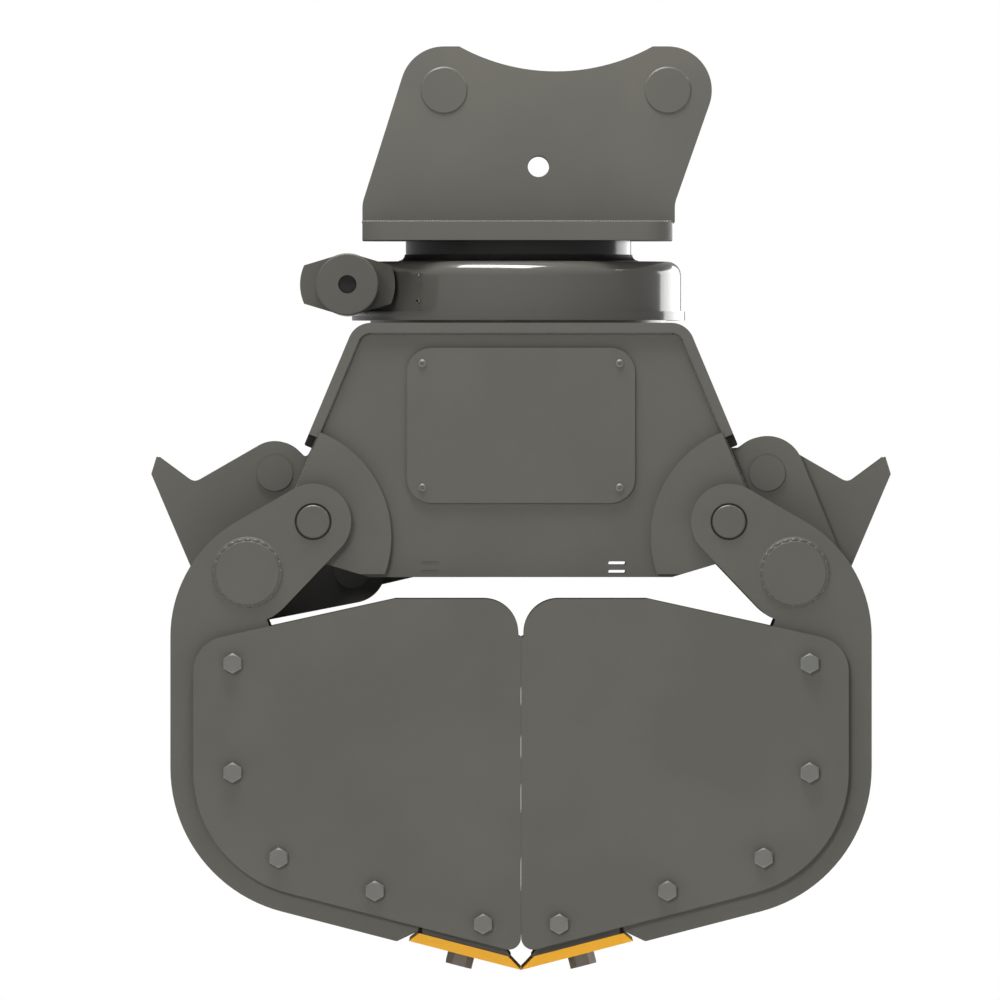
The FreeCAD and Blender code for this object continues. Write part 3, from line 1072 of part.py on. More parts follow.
def make_cylinder():
    left_x = -UPPER_PIN[0]
    right_x = UPPER_PIN[0]
    start = left_x + BARREL_START
    mouth = left_x + BARREL_END
    eye_place = (left_x, UPPER_PIN[1])
    eye = round_y(eye_place, CYLINDER_EYE_R, -CYLINDER_EYE_HALF, CYLINDER_EYE_HALF)
    stub = block(left_x, start + BARREL_BOTTOM / 2, -CYLINDER_EYE_HALF, CYLINDER_EYE_HALF,
                 UPPER_PIN[1] - BARREL_NECK_HALF, UPPER_PIN[1] + BARREL_NECK_HALF)
    tube = round_x(BARREL_R, start, mouth)
    hole = round_y(eye_place, CYLINDER_PIN_R + RUNNING, -CYLINDER_EYE_HALF - 1, CYLINDER_EYE_HALF + 1)
    ports = []
    drillings = []
    port_foot = UPPER_PIN[1] - BARREL_R - BARREL_PORT_HEIGHT
    for x in (start + BARREL_BOTTOM + BARREL_PORT_INSET, mouth - GLAND_LENGTH - BARREL_PORT_INSET):
        ports.append(round_z(x, 0, BARREL_PORT_BOSS_R, port_foot, UPPER_PIN[1]))
        drillings.append(round_z(x, 0, BARREL_PORT_R, port_foot - BARREL_PORT_HEIGHT, UPPER_PIN[1]))
    barrel = united([eye, stub, tube] + ports)
    barrel = barrel.cut([hole, round_x(BORE_R, start + BARREL_BOTTOM, mouth + 1)] + drillings)
    save("cylinder_barrel", [barrel])
    gland = united([round_x(BORE_R, mouth - GLAND_LENGTH, mouth),
                    round_x(GLAND_LIP_R, mouth, mouth + GLAND_LIP)])
    save("cylinder_gland", [gland.cut(
         round_x(ROD_R + RUNNING, mouth - GLAND_LENGTH - 1, mouth + GLAND_LIP + 1))])

    rod_start = right_x - ROD_LENGTH
    half = PISTON_WIDTH / 2
    rod_eye_place = (right_x, UPPER_PIN[1])
    rod_eye = round_y(rod_eye_place, CYLINDER_EYE_R, -CYLINDER_EYE_HALF, CYLINDER_EYE_HALF)
    rod_hole = round_y(rod_eye_place, CYLINDER_PIN_R + RUNNING, -CYLINDER_EYE_HALF - 1, CYLINDER_EYE_HALF + 1)
    rod = united([round_x(ROD_R, rod_start + half, right_x), rod_eye,
                  round_x(PISTON_SPIGOT_R, rod_start - half, rod_start + half)]).cut(rod_hole)
    save("cylinder_rod", [rod])
    piston = round_x(BORE_R - RUNNING, rod_start - half, rod_start + half)
    spigot_bore = round_x(PISTON_SPIGOT_R + WELD_GAP, rod_start - half - 1, rod_start + half + 1)
    save("cylinder_piston", [piston.cut(spigot_bore)])


def make_links():
    """Pair of bars from the left shell's link pin to the right cylinder pin, forked at that end."""
    y_from = LINK_Y
    y_to = LINK_Y + LINK_THICKNESS
    near = (-LOWER_PIN[0], LOWER_PIN[1])
    far = UPPER_PIN
    bar = link_plate(near, LINK_HALF, far, LINK_HALF, y_from, y_to)
    eye = round_y(near, LINK_EYE_R, y_from, y_to)
    head = plate([(far[0] - FORK_HALF, far[1] - FORK_BOTTOM, 20),
                  (far[0] + FORK_HALF, far[1] - FORK_BOTTOM, 20),
                  (far[0] + FORK_HALF, far[1] + FORK_TOP, 8), (far[0] - FORK_HALF, far[1] + FORK_TOP, 8)],
                 y_from, y_to)
    clear = CYLINDER_PIN_R + SEAT
    mouth = block(far[0] - clear, far[0] + clear, y_from - 1, y_to + 1, far[1], far[1] + 3 * FORK_TOP)
    link = united([bar, eye, head]).cut([mouth, round_y(far, clear, y_from - 1, y_to + 1),
                                         round_y(near, CYLINDER_PIN_R + RUNNING, y_from - 1, y_to + 1)])
    save("sync_links", front_and_rear(link))


os.makedirs("parts", exist_ok=True)
make_head()
make_slew()
make_swivel()
make_frame()
make_shell(LEFT, "left")
make_shell(RIGHT, "right")
make_cylinder()
make_links()
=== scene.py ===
"""Dresses the sorting grapple: paints, welds, bolts, small fittings and the studio round it."""

import math

import bpy
from mathutils import Matrix, Vector


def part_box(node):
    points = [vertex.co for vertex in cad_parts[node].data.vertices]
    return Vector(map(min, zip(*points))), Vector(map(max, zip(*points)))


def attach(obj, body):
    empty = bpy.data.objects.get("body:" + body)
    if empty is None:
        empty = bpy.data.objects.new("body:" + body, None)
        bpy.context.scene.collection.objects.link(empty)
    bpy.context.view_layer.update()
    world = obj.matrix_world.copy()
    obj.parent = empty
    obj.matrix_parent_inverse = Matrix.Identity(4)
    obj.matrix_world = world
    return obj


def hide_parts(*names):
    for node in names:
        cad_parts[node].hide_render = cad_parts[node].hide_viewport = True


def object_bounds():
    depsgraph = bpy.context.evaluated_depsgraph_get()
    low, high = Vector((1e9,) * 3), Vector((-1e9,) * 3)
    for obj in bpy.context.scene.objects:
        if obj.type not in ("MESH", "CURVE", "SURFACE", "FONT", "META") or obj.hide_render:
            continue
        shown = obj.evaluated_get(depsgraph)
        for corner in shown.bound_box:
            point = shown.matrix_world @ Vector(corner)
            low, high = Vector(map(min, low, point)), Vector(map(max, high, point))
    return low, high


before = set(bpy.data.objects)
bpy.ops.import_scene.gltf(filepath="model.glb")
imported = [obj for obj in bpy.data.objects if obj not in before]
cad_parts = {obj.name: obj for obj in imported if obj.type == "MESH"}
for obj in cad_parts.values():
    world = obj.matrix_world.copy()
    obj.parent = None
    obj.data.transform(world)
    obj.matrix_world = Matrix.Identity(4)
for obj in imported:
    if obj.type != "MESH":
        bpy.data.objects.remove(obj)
cad_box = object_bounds()

bl_info = {
    "name": "Sorting grapple dresser",
    "version": (1, 0, 0),
    "blender": (4, 5, 0),
    "location": "View3D > Sidebar > Grapple",
    "description": "Paints the sorting grapple and adds its welds, bolts and fittings",
    "category": "Object",
}

SHELLS = ("left", "right")

# Turns of a piece that is modelled along Z, so that it looks out at the grapple's front or rear
FRONT = Matrix.Rotation(math.radians(90), 4, "X")
REAR = Matrix.Rotation(math.radians(-90), 4, "X")

# How faces and corners of a mesh are found: distances in metres, and shares of a normal along an axis
SAME_HEIGHT = 1e-5
SAME_EDGE = 0.0001
CORNER_DIGITS = 5
FLAT_SHARE = 0.9
CROWN_SHARE = 0.99
SLANT_UP_SHARE = 0.2
SLANT_OUT_SHARE = 0.8
SLANT_LEAST_AREA = 0.0005

# Angles in degrees up to which the faces of a piece are shaded as one round surface
PLAIN_SMOOTH = 35.0
BEAD_SMOOTH = 60.0
BOLT_SMOOTH = 30.0

# Beads, as shares of their half width: how far a tube's bead stands off the arm, how far a lug's bead
# stands off the tube, and how much of the pitch a tube's ripple reaches to each side
ARM_STAND_OFF = 0.8
LUG_STAND_OFF = 0.5
TUBE_RIPPLE_REACH = 0.5

# Bolts: radius taken off by a chamfer of depth one, the round bar that cuts a hexagon's corners by their
# radius, width across flats by the shank's radius, a screw's socket and shank by the radius of its head,
# and how far pieces run into one another to be joined or cut, in metres
CHAMFER_SLOPE = 1.7
CORNER_CUTTER_SHARE = 1.001
FLATS_BY_SHANK = 3
SOCKET_SHARE = 0.95
SCREW_SHANK_SHARE = 0.58
OVERLAP = 0.001

# Tones of the darker paints beside the one that they are mixed from
NECK_TONE = 0.12
MOTOR_TONE = 0.8
WELD_TONE = 0.95

# Place of each light from the grapple's middle, and its width and height, in metres
LIGHTS = {
    "front_light": ((-3.0, -12.0, 3.2), (2.5, 2.5)),
    "top_light": ((-0.5, -1.0, 3.4), (2.2, 1.3)),
    "right_rim_light": ((2.6, 3.0, 0.3), (3.1, 2.5)),
    "glint_light": ((3.06, -0.43, 2.57), (0.5, 0.5)),
}

# Which finish each piece of the grapple has
GREY_PAINT = (
    "head_base_plate", "head_ear_front", "head_ear_rear", "head_cross_plates",
    "frame_roof", "frame_side_front", "frame_side_rear", "frame_doublers", "frame_ribs",
    "access_covers", "cylinder_barrel", "sync_links",
    "left_arms", "left_back_plate", "left_lip_plate", "left_side_plates",
    "left_fin_plates", "left_lug_plates", "left_cross_tube",
    "right_arms", "right_back_plate", "right_lip_plate", "right_side_plates",
    "right_fin_plates", "right_lug_plates", "right_cross_tube",
)
GLOSS_PAINT = ("slew_housing",)
BLACK_GLOSS = ("neck_ring",)
MOTOR_PAINT = ("slew_motor", "worm_end_cap")
YELLOW_PAINT = ("left_cutting_edge", "right_cutting_edge")
PAINTED_PINS = (
    "stick_pin", "link_pin", "pivot_pins", "left_cylinder_pin", "right_cylinder_pin", "left_link_pin",
)
MACHINED_STEEL = (
    "ring_gear", "slew_race", "slew_spacer", "worm_shaft", "swivel_core", "swivel_sleeve",
    "cylinder_gland", "cylinder_piston",
)
PLATED_STEEL = (
    "stick_pin_bolt", "link_pin_bolt", "neck_bolts", "slew_bolts", "cover_screws",
    "left_side_bolts", "right_side_bolts", "left_edge_bolts", "right_edge_bolts",
)
CHROMED = ("cylinder_rod",)
# The bushes' steel is near black, which paints the shade in the recessed ring round each pivot pin's end.
SHADED_BUSH_STEEL = ("left_bushes", "right_bushes")
# The wall stops get the near-black rubber, which paints the deep shade at the lower ends of the frame's
# walls.
RUBBER_AND_SHADE_PADS = ("slew_seal", "wall_stops")


class PaintSettings(bpy.types.PropertyGroup):
    """Colours and gloss of the finishes."""

    grey: bpy.props.FloatVectorProperty(
        name="Body grey", description="Satin paint of the plates", subtype="COLOR", size=3,
        min=0.0, max=1.0, default=(0.077, 0.0752, 0.065))
    gloss: bpy.props.FloatVectorProperty(
        name="Slew grey", description="Glossy paint of the slew housing", subtype="COLOR", size=3,
        min=0.0, max=1.0, default=(0.074, 0.071, 0.063))
    yellow: bpy.props.FloatVectorProperty(
        name="Edge yellow", description="Paint of the cutting edges", subtype="COLOR", size=3,
        min=0.0, max=1.0, default=(0.68, 0.33, 0.012))
    dust: bpy.props.FloatVectorProperty(
        name="Dust", description="Fine dust that dulls the paint", subtype="COLOR", size=3,
        min=0.0, max=1.0, default=(0.16, 0.145, 0.115))
    grey_roughness: bpy.props.FloatProperty(
        name="Body roughness", description="Roughness of the satin paint",
        default=0.52, min=0.0, max=1.0)
    gloss_roughness: bpy.props.FloatProperty(
        name="Slew roughness", description="Roughness of the glossy paint",
        default=0.16, min=0.0, max=1.0)


class WeldSettings(bpy.types.PropertyGroup):
    """Size of the weld beads."""

    width: bpy.props.FloatProperty(
        name="Bead half width", description="Half width of a straight weld bead",
        default=0.0042, unit="LENGTH")
    tube_width: bpy.props.FloatProperty(
        name="Tube bead half width", description="Half width of the ripples round a tube's end",
        default=0.0032, unit="LENGTH")
    tube_offset: bpy.props.FloatProperty(
        name="Tube bead offset", description="How far outside the tube its ripples run",
        default=0.0045, unit="LENGTH")
    ripples: bpy.props.IntProperty(
        name="Ripples round a tube", description="Number of ripples in one bead round a tube's end",
        default=24, min=12)
    fine_ripples: bpy.props.IntProperty(
        name="Ripples round a lug", description="Number of ripples in one bead round a tube at a lug",
        default=72, min=12)
    pitch: bpy.props.FloatProperty(
        name="Ripple pitch", description="Distance between two ripples of a straight bead",
        default=0.0055, unit="LENGTH")


class BoltSettings(bpy.types.PropertyGroup):
    """Sizes of the bolts and screws."""

    chamfer: bpy.props.FloatProperty(
        name="Head chamfer", description="Depth of the chamfer at a hexagon's corners",
        default=0.0028, unit="LENGTH")
    facets: bpy.props.IntProperty(
        name="Round facets", description="Facets of the round parts of a bolt", default=32, min=8)
    screw_head: bpy.props.FloatProperty(
        name="Screw head", description="Height of a cover screw's head",
        default=0.005, unit="LENGTH")
    screw_chamfer: bpy.props.FloatProperty(
        name="Screw chamfer", description="Depth of the chamfer round a cover screw's head",
        default=0.0022, unit="LENGTH")
    socket_depth: bpy.props.FloatProperty(
        name="Socket depth", description="Depth of the hexagon socket in a cover screw",
        default=0.0028, unit="LENGTH")


class FittingSettings(bpy.types.PropertyGroup):
    """Sizes and places of the small fittings."""

    plug_flats: bpy.props.FloatProperty(
        name="Plug flats", description="Width across the flats of a housing plug",
        default=0.0075, unit="LENGTH")
    plug_height: bpy.props.FloatProperty(
        name="Plug height", description="How far a plug stands out of the housing",
        default=0.003, unit="LENGTH")
    plug_root: bpy.props.FloatProperty(
        name="Plug root", description="How far a plug reaches into the housing",
        default=0.002, unit="LENGTH")
    plug_chamfer: bpy.props.FloatProperty(
        name="Plug chamfer", description="Depth of the chamfer at a plug's corners",
        default=0.0006, unit="LENGTH")
    plug_across: bpy.props.FloatProperty(
        name="Plug place", description="X of the housing plugs from the slewing axis",
        default=-0.2004, unit="LENGTH")
    plug_drop: bpy.props.FloatProperty(
        name="Plug drop", description="Depth of the upper plug under the housing's top",
        default=0.0416, unit="LENGTH")
    plug_step: bpy.props.FloatProperty(
        name="Plug step", description="Height between the two plugs",
        default=0.0534, unit="LENGTH")
    wiper_radius: bpy.props.FloatProperty(
        name="Wiper radius", description="How far outside the rod the middle of the wiper's lip runs",
        default=0.004, unit="LENGTH")
    wiper_lip: bpy.props.FloatProperty(
        name="Wiper lip", description="Half thickness of the wiper's round lip",
        default=0.0034, unit="LENGTH")
    # The port's plug is a near-black disc, which paints the shade deep in the motor's port.
    port_shade_plug_radius: bpy.props.FloatProperty(
        name="Shade plug radius", description="Radius of the plug in the motor's port",
        default=0.0182, unit="LENGTH")
    port_shade_plug_depth: bpy.props.FloatProperty(
        name="Shade plug depth", description="How deep the plug sits in the motor's port",
        default=0.005, unit="LENGTH")


class StageSettings(bpy.types.PropertyGroup):
    """Floor, lights and camera."""

    floor_drop: bpy.props.FloatProperty(
        name="Floor drop", description="Space under the closed tips, which the lips need as they open",
        default=0.11, unit="LENGTH")
    floor_radius: bpy.props.FloatProperty(
        name="Floor radius", description="Radius of the round floor", default=14.0, unit="LENGTH")
    fade_start: bpy.props.FloatProperty(
        name="Fade start", description="Distance from the floor's middle where it starts to turn white",
        default=0.9, unit="LENGTH")
    fade_end: bpy.props.FloatProperty(
        name="Fade end", description="Distance from the floor's middle where it is wholly white",
        default=2.7, unit="LENGTH")
    lens: bpy.props.FloatProperty(
        name="Lens", description="Focal length in millimetres", default=1600.0)
    picture_width: bpy.props.FloatProperty(
        name="Picture width", description="Width that the picture covers at the grapple",
        default=2.0, unit="LENGTH")
    picture_left: bpy.props.FloatProperty(
        name="Picture's left edge", description="X at the left edge of the picture",
        default=-0.888, unit="LENGTH")
    picture_foot: bpy.props.FloatProperty(
        name="Picture's lower edge", description="Z at the lower edge of the picture",
        default=-1.82, unit="LENGTH")
    true_plane: bpy.props.FloatProperty(
        name="Plane of true scale", description="Y of the plane whose width fills the picture exactly",
        default=-0.25, unit="LENGTH")
    ambient: bpy.props.FloatProperty(
        name="Ambient", description="Strength of the even light from all round",
        default=0.32, min=0.0)
    key: bpy.props.FloatProperty(
        name="Front light", description="Power of the distant front light in watts",
        default=800.0, min=0.0)
    top: bpy.props.FloatProperty(
        name="Top light", description="Power of the light strip above in watts",
        default=165.0, min=0.0)
    rim: bpy.props.FloatProperty(
        name="Rim light", description="Power of the light at the right, behind the grapple, in watts",
        default=85.0, min=0.0)
    glint: bpy.props.FloatProperty(
        name="Glint light", description="Power of the small light that shows only in glossy edges, in watts",
        default=14.0, min=0.0)


# Working with objects

def deselect():
    bpy.ops.object.select_all(action="DESELECT")


def only(*objects):
    """Selects these objects alone, and makes the first one active."""
    deselect()
    for one in objects:
        one.select_set(True)
    bpy.context.view_layer.objects.active = objects[0]


def added():
    """The object that an add operator has just made, selected alone."""
    made = bpy.context.active_object
    only(made)
    return made


def apply_place(piece):
    only(piece)
    bpy.ops.object.transform_apply(location=True, rotation=True, scale=True)


def apply_modifier(piece, modifier):
    only(piece)
    bpy.ops.object.modifier_apply(modifier=modifier.name)


def cut_piece(piece, tool, operation):
    """Cuts a piece by another one, which is used up."""
    cut = piece.modifiers.new("Cut", "BOOLEAN")
    cut.operation = operation
    cut.solver = "EXACT"
    cut.object = tool
    apply_modifier(piece, cut)
    discard(tool)


def copy_at(source, place, name="copy"):
    """A copy with its own mesh, moved by a matrix."""
    twin = source.copy()
    twin.data = source.data.copy()
    twin.name = name
    bpy.context.collection.objects.link(twin)
    twin.data.transform(place)
    return twin


def join(pieces, name):
    only(*pieces)
    if len(pieces) > 1:
        bpy.ops.object.join()
    whole = bpy.context.view_layer.objects.active
    whole.name = name
    whole.data.name = name
    return whole


def discard(piece):
    bpy.data.objects.remove(piece)


def select_faces_near(piece, height):
    """In edit mode, selects the faces that lie flat at this height."""
    bpy.ops.mesh.select_mode(type="FACE")
    bpy.ops.mesh.select_all(action="DESELECT")
    bpy.ops.object.mode_set(mode="OBJECT")
    for face in piece.data.polygons:
        face.select = abs(face.center.z - height) < SAME_HEIGHT and abs(face.normal.z) > FLAT_SHARE
    bpy.ops.object.mode_set(mode="EDIT")


def finish_piece(piece, material, body, smooth_deg=PLAIN_SMOOTH):
    """Paints a new piece, smooths its round faces and makes it ride on a body."""
    piece.data.materials.clear()
    piece.data.materials.append(material)
    only(piece)
    bpy.ops.object.shade_smooth_by_angle(angle=math.radians(smooth_deg))
    for modifier in list(piece.modifiers):
        apply_modifier(piece, modifier)
    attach(piece, body)
    return piece


def solids_of(node):
    """Lowest and highest corner of every separate solid of a node, from left to right."""
    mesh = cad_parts[node].data
    parent = {}

    def root(key):
        while parent[key] != key:
            parent[key] = parent[parent[key]]
            key = parent[key]
        return key

    keys = [tuple(round(c, CORNER_DIGITS) for c in v.co) for v in mesh.vertices]
    for key in keys:
        parent.setdefault(key, key)
    for face in mesh.polygons:
        first = root(keys[face.vertices[0]])
        for index in face.vertices[1:]:
            parent[root(keys[index])] = first
    corners = {}
    for key in parent:
        low, high = corners.setdefault(root(key), (list(key), list(key)))
        for axis in range(3):
            low[axis] = min(low[axis], key[axis])
            high[axis] = max(high[axis], key[axis])
    pairs = [(Vector(low), Vector(high)) for low, high in corners.values()]
    return sorted(pairs, key=lambda pair: pair[0][:])


def middle_of(pair):
    return (pair[0] + pair[1]) / 2


# Materials

def new_material(name):
    material = bpy.data.materials.new(name)
    material.use_nodes = True
    tree = material.node_tree
    return material, tree, tree.nodes["Principled BSDF"]


def group_socket(group, name, kind, way, default=None):
    socket = group.interface.new_socket(name=name, in_out=way, socket_type=kind)
    if default is not None:
        socket.default_value = default


def node(tree, kind, **values):
    """A new node with its properties and inputs set by their names."""
    made = tree.nodes.new(kind)
    for name, value in values.items():
        if hasattr(made, name):
            setattr(made, name, value)
        else:
            made.inputs[name.replace("_", " ").capitalize()].default_value = value
    return made


def calculated(tree, operation, *values):
    """Result of a Math node whose inputs are other nodes' outputs or numbers."""
    made = node(tree, "ShaderNodeMath", operation=operation)
    for socket, value in zip(made.inputs, values):
        if isinstance(value, bpy.types.NodeSocket):
            tree.links.new(value, socket)
        else:
            socket.default_value = value
    return made.outputs["Value"]


def blended_colors(tree, share, first, second):
    """Two colours blended by the share of the second one. Sockets 6 and 7 and output 2 are the colours."""
    blend = node(tree, "ShaderNodeMix", data_type="RGBA")
    tree.links.new(share, blend.inputs["Factor"])
    tree.links.new(first, blend.inputs[6])
    tree.links.new(second, blend.inputs[7])
    return blend.outputs[2]


def blended_shaders(tree, share, first, second):
    """Two shaders blended by the share of the second one."""
    blend = node(tree, "ShaderNodeMixShader")
    tree.links.new(share, blend.inputs["Fac"])
    tree.links.new(first, blend.inputs[1])
    tree.links.new(second, blend.inputs[2])
    return blend.outputs["Shader"]


def paint_group():
    """Even paint with faint clouding, fine orange peel and dust in patches."""
    group = bpy.data.node_groups.new("Paint coat", "ShaderNodeTree")
    group_socket(group, "Paint", "NodeSocketColor", "INPUT", (0.1, 0.1, 0.09, 1.0))
    group_socket(group, "Dust", "NodeSocketColor", "INPUT", (0.16, 0.15, 0.12, 1.0))
    group_socket(group, "Dust amount", "NodeSocketFloat", "INPUT", 0.1)
    group_socket(group, "Base roughness", "NodeSocketFloat", "INPUT", 0.5)
    group_socket(group, "Roughness spread", "NodeSocketFloat", "INPUT", 0.08)
    group_socket(group, "Color", "NodeSocketColor", "OUTPUT")
    group_socket(group, "Roughness", "NodeSocketFloat", "OUTPUT")
    group_socket(group, "Height", "NodeSocketFloat", "OUTPUT")
    entry = node(group, "NodeGroupInput")
    leave = node(group, "NodeGroupOutput")
    place = node(group, "ShaderNodeTexCoord")
    cloud = node(group, "ShaderNodeTexNoise", Scale=3.2, Detail=4.0, Roughness=0.55)
    grain = node(group, "ShaderNodeTexNoise", Scale=420.0, Detail=2.0, Roughness=0.5)
    for noise in (cloud, grain):
        group.links.new(place.outputs["Object"], noise.inputs["Vector"])
    patches = node(group, "ShaderNodeMapRange")
    patches.inputs["From Min"].default_value = 0.42
    patches.inputs["From Max"].default_value = 0.68
    group.links.new(cloud.outputs["Fac"], patches.inputs["Value"])
    share = calculated(group, "MULTIPLY", patches.outputs["Result"], entry.outputs["Dust amount"])
    dusty = blended_colors(group, share, entry.outputs["Paint"], entry.outputs["Dust"])
    group.links.new(dusty, leave.inputs["Color"])
    spread = calculated(group, "MULTIPLY", cloud.outputs["Fac"], entry.outputs["Roughness spread"])
    total = calculated(group, "ADD", spread, entry.outputs["Base roughness"])
    group.links.new(total, leave.inputs["Roughness"])
    group.links.new(grain.outputs["Fac"], leave.inputs["Height"])
    return group


def rubbed_group():
    """Bare metal with fine scratches along one direction and darker oil stains."""
    group = bpy.data.node_groups.new("Rubbed metal", "ShaderNodeTree")
    group_socket(group, "Metal", "NodeSocketColor", "INPUT", (0.5, 0.5, 0.5, 1.0))
    group_socket(group, "Stain", "NodeSocketColor", "INPUT", (0.1, 0.09, 0.08, 1.0))
    group_socket(group, "Stain amount", "NodeSocketFloat", "INPUT", 0.3)
    group_socket(group, "Base roughness", "NodeSocketFloat", "INPUT", 0.3)
    group_socket(group, "Color", "NodeSocketColor", "OUTPUT")
    group_socket(group, "Roughness", "NodeSocketFloat", "OUTPUT")
    entry = node(group, "NodeGroupInput")
    leave = node(group, "NodeGroupOutput")
    place = node(group, "ShaderNodeTexCoord")
    stretch = node(group, "ShaderNodeMapping")
    stretch.inputs["Scale"].default_value = (1.0, 14.0, 1.0)
    group.links.new(place.outputs["Object"], stretch.inputs["Vector"])
    marks = node(group, "ShaderNodeTexNoise", Scale=55.0, Detail=3.0, Roughness=0.6)
    stains = node(group, "ShaderNodeTexNoise", Scale=11.0, Detail=4.0, Roughness=0.6)
    group.links.new(stretch.outputs["Vector"], marks.inputs["Vector"])
    group.links.new(place.outputs["Object"], stains.inputs["Vector"])
    share = calculated(group, "MULTIPLY", stains.outputs["Fac"], entry.outputs["Stain amount"])
    stained = blended_colors(group, share, entry.outputs["Metal"], entry.outputs["Stain"])
    group.links.new(stained, leave.inputs["Color"])
    scratch_roughness = 0.16
    rough = calculated(
        group, "MULTIPLY_ADD", marks.outputs["Fac"], scratch_roughness, entry.outputs["Base roughness"])
    group.links.new(rough, leave.inputs["Roughness"])
    return group


def toned(color, tone):
    return tuple(part * tone for part in color)


def painted(name, group, color, dust, dust_amount, roughness, bump=0.05, coat=0.0, spread=0.08):
    """Paint with the shared coat group."""
    material, tree, shader = new_material(name)
    coat_node = node(tree, "ShaderNodeGroup")
    coat_node.node_tree = group
    coat_node.inputs["Paint"].default_value = (*color, 1.0)
    coat_node.inputs["Dust"].default_value = (*dust, 1.0)
    coat_node.inputs["Dust amount"].default_value = dust_amount
    coat_node.inputs["Base roughness"].default_value = roughness
    coat_node.inputs["Roughness spread"].default_value = spread
    tree.links.new(coat_node.outputs["Color"], shader.inputs["Base Color"])
    tree.links.new(coat_node.outputs["Roughness"], shader.inputs["Roughness"])
    relief = node(tree, "ShaderNodeBump")
    relief.inputs["Strength"].default_value = bump
    relief.inputs["Distance"].default_value = 0.0006
    tree.links.new(coat_node.outputs["Height"], relief.inputs["Height"])
    tree.links.new(relief.outputs["Normal"], shader.inputs["Normal"])
    shader.inputs["Coat Weight"].default_value = coat
    shader.inputs["Coat Roughness"].default_value = 0.06
    return material


def metal(name, group, color, stain, stain_amount, roughness, metallic=1.0):
    """Bare or plated metal with the shared rubbed group."""
    material, tree, shader = new_material(name)
    rubbed = node(tree, "ShaderNodeGroup")
    rubbed.node_tree = group
    rubbed.inputs["Metal"].default_value = (*color, 1.0)
    rubbed.inputs["Stain"].default_value = (*stain, 1.0)
    rubbed.inputs["Stain amount"].default_value = stain_amount
    rubbed.inputs["Base roughness"].default_value = roughness
    tree.links.new(rubbed.outputs["Color"], shader.inputs["Base Color"])
    tree.links.new(rubbed.outputs["Roughness"], shader.inputs["Roughness"])
    shader.inputs["Metallic"].default_value = metallic
    return material


def rubber(name):
    """Black rubber, a little uneven; its near-black tone also paints deep shade on the wall stops and port
    plug.
    """
    material, tree, shader = new_material(name)
    place = node(tree, "ShaderNodeTexCoord")
    noise = node(tree, "ShaderNodeTexNoise", Scale=60.0, Detail=3.0, Roughness=0.6)
    tree.links.new(place.outputs["Object"], noise.inputs["Vector"])
    # The tone is near black, so the wall stops and the motor's port plug also paint the deep shade where they
    # sit.
    tone = node(tree, "ShaderNodeValToRGB")
    tone.color_ramp.elements[0].color = (0.006, 0.006, 0.006, 1.0)
    tone.color_ramp.elements[1].color = (0.02, 0.02, 0.019, 1.0)
    tree.links.new(noise.outputs["Fac"], tone.inputs["Fac"])
    tree.links.new(tone.outputs["Color"], shader.inputs["Base Color"])
    shader.inputs["Roughness"].default_value = 0.62
    shader.inputs["Specular IOR Level"].default_value = 0.2
    return material


MATERIALS = {}


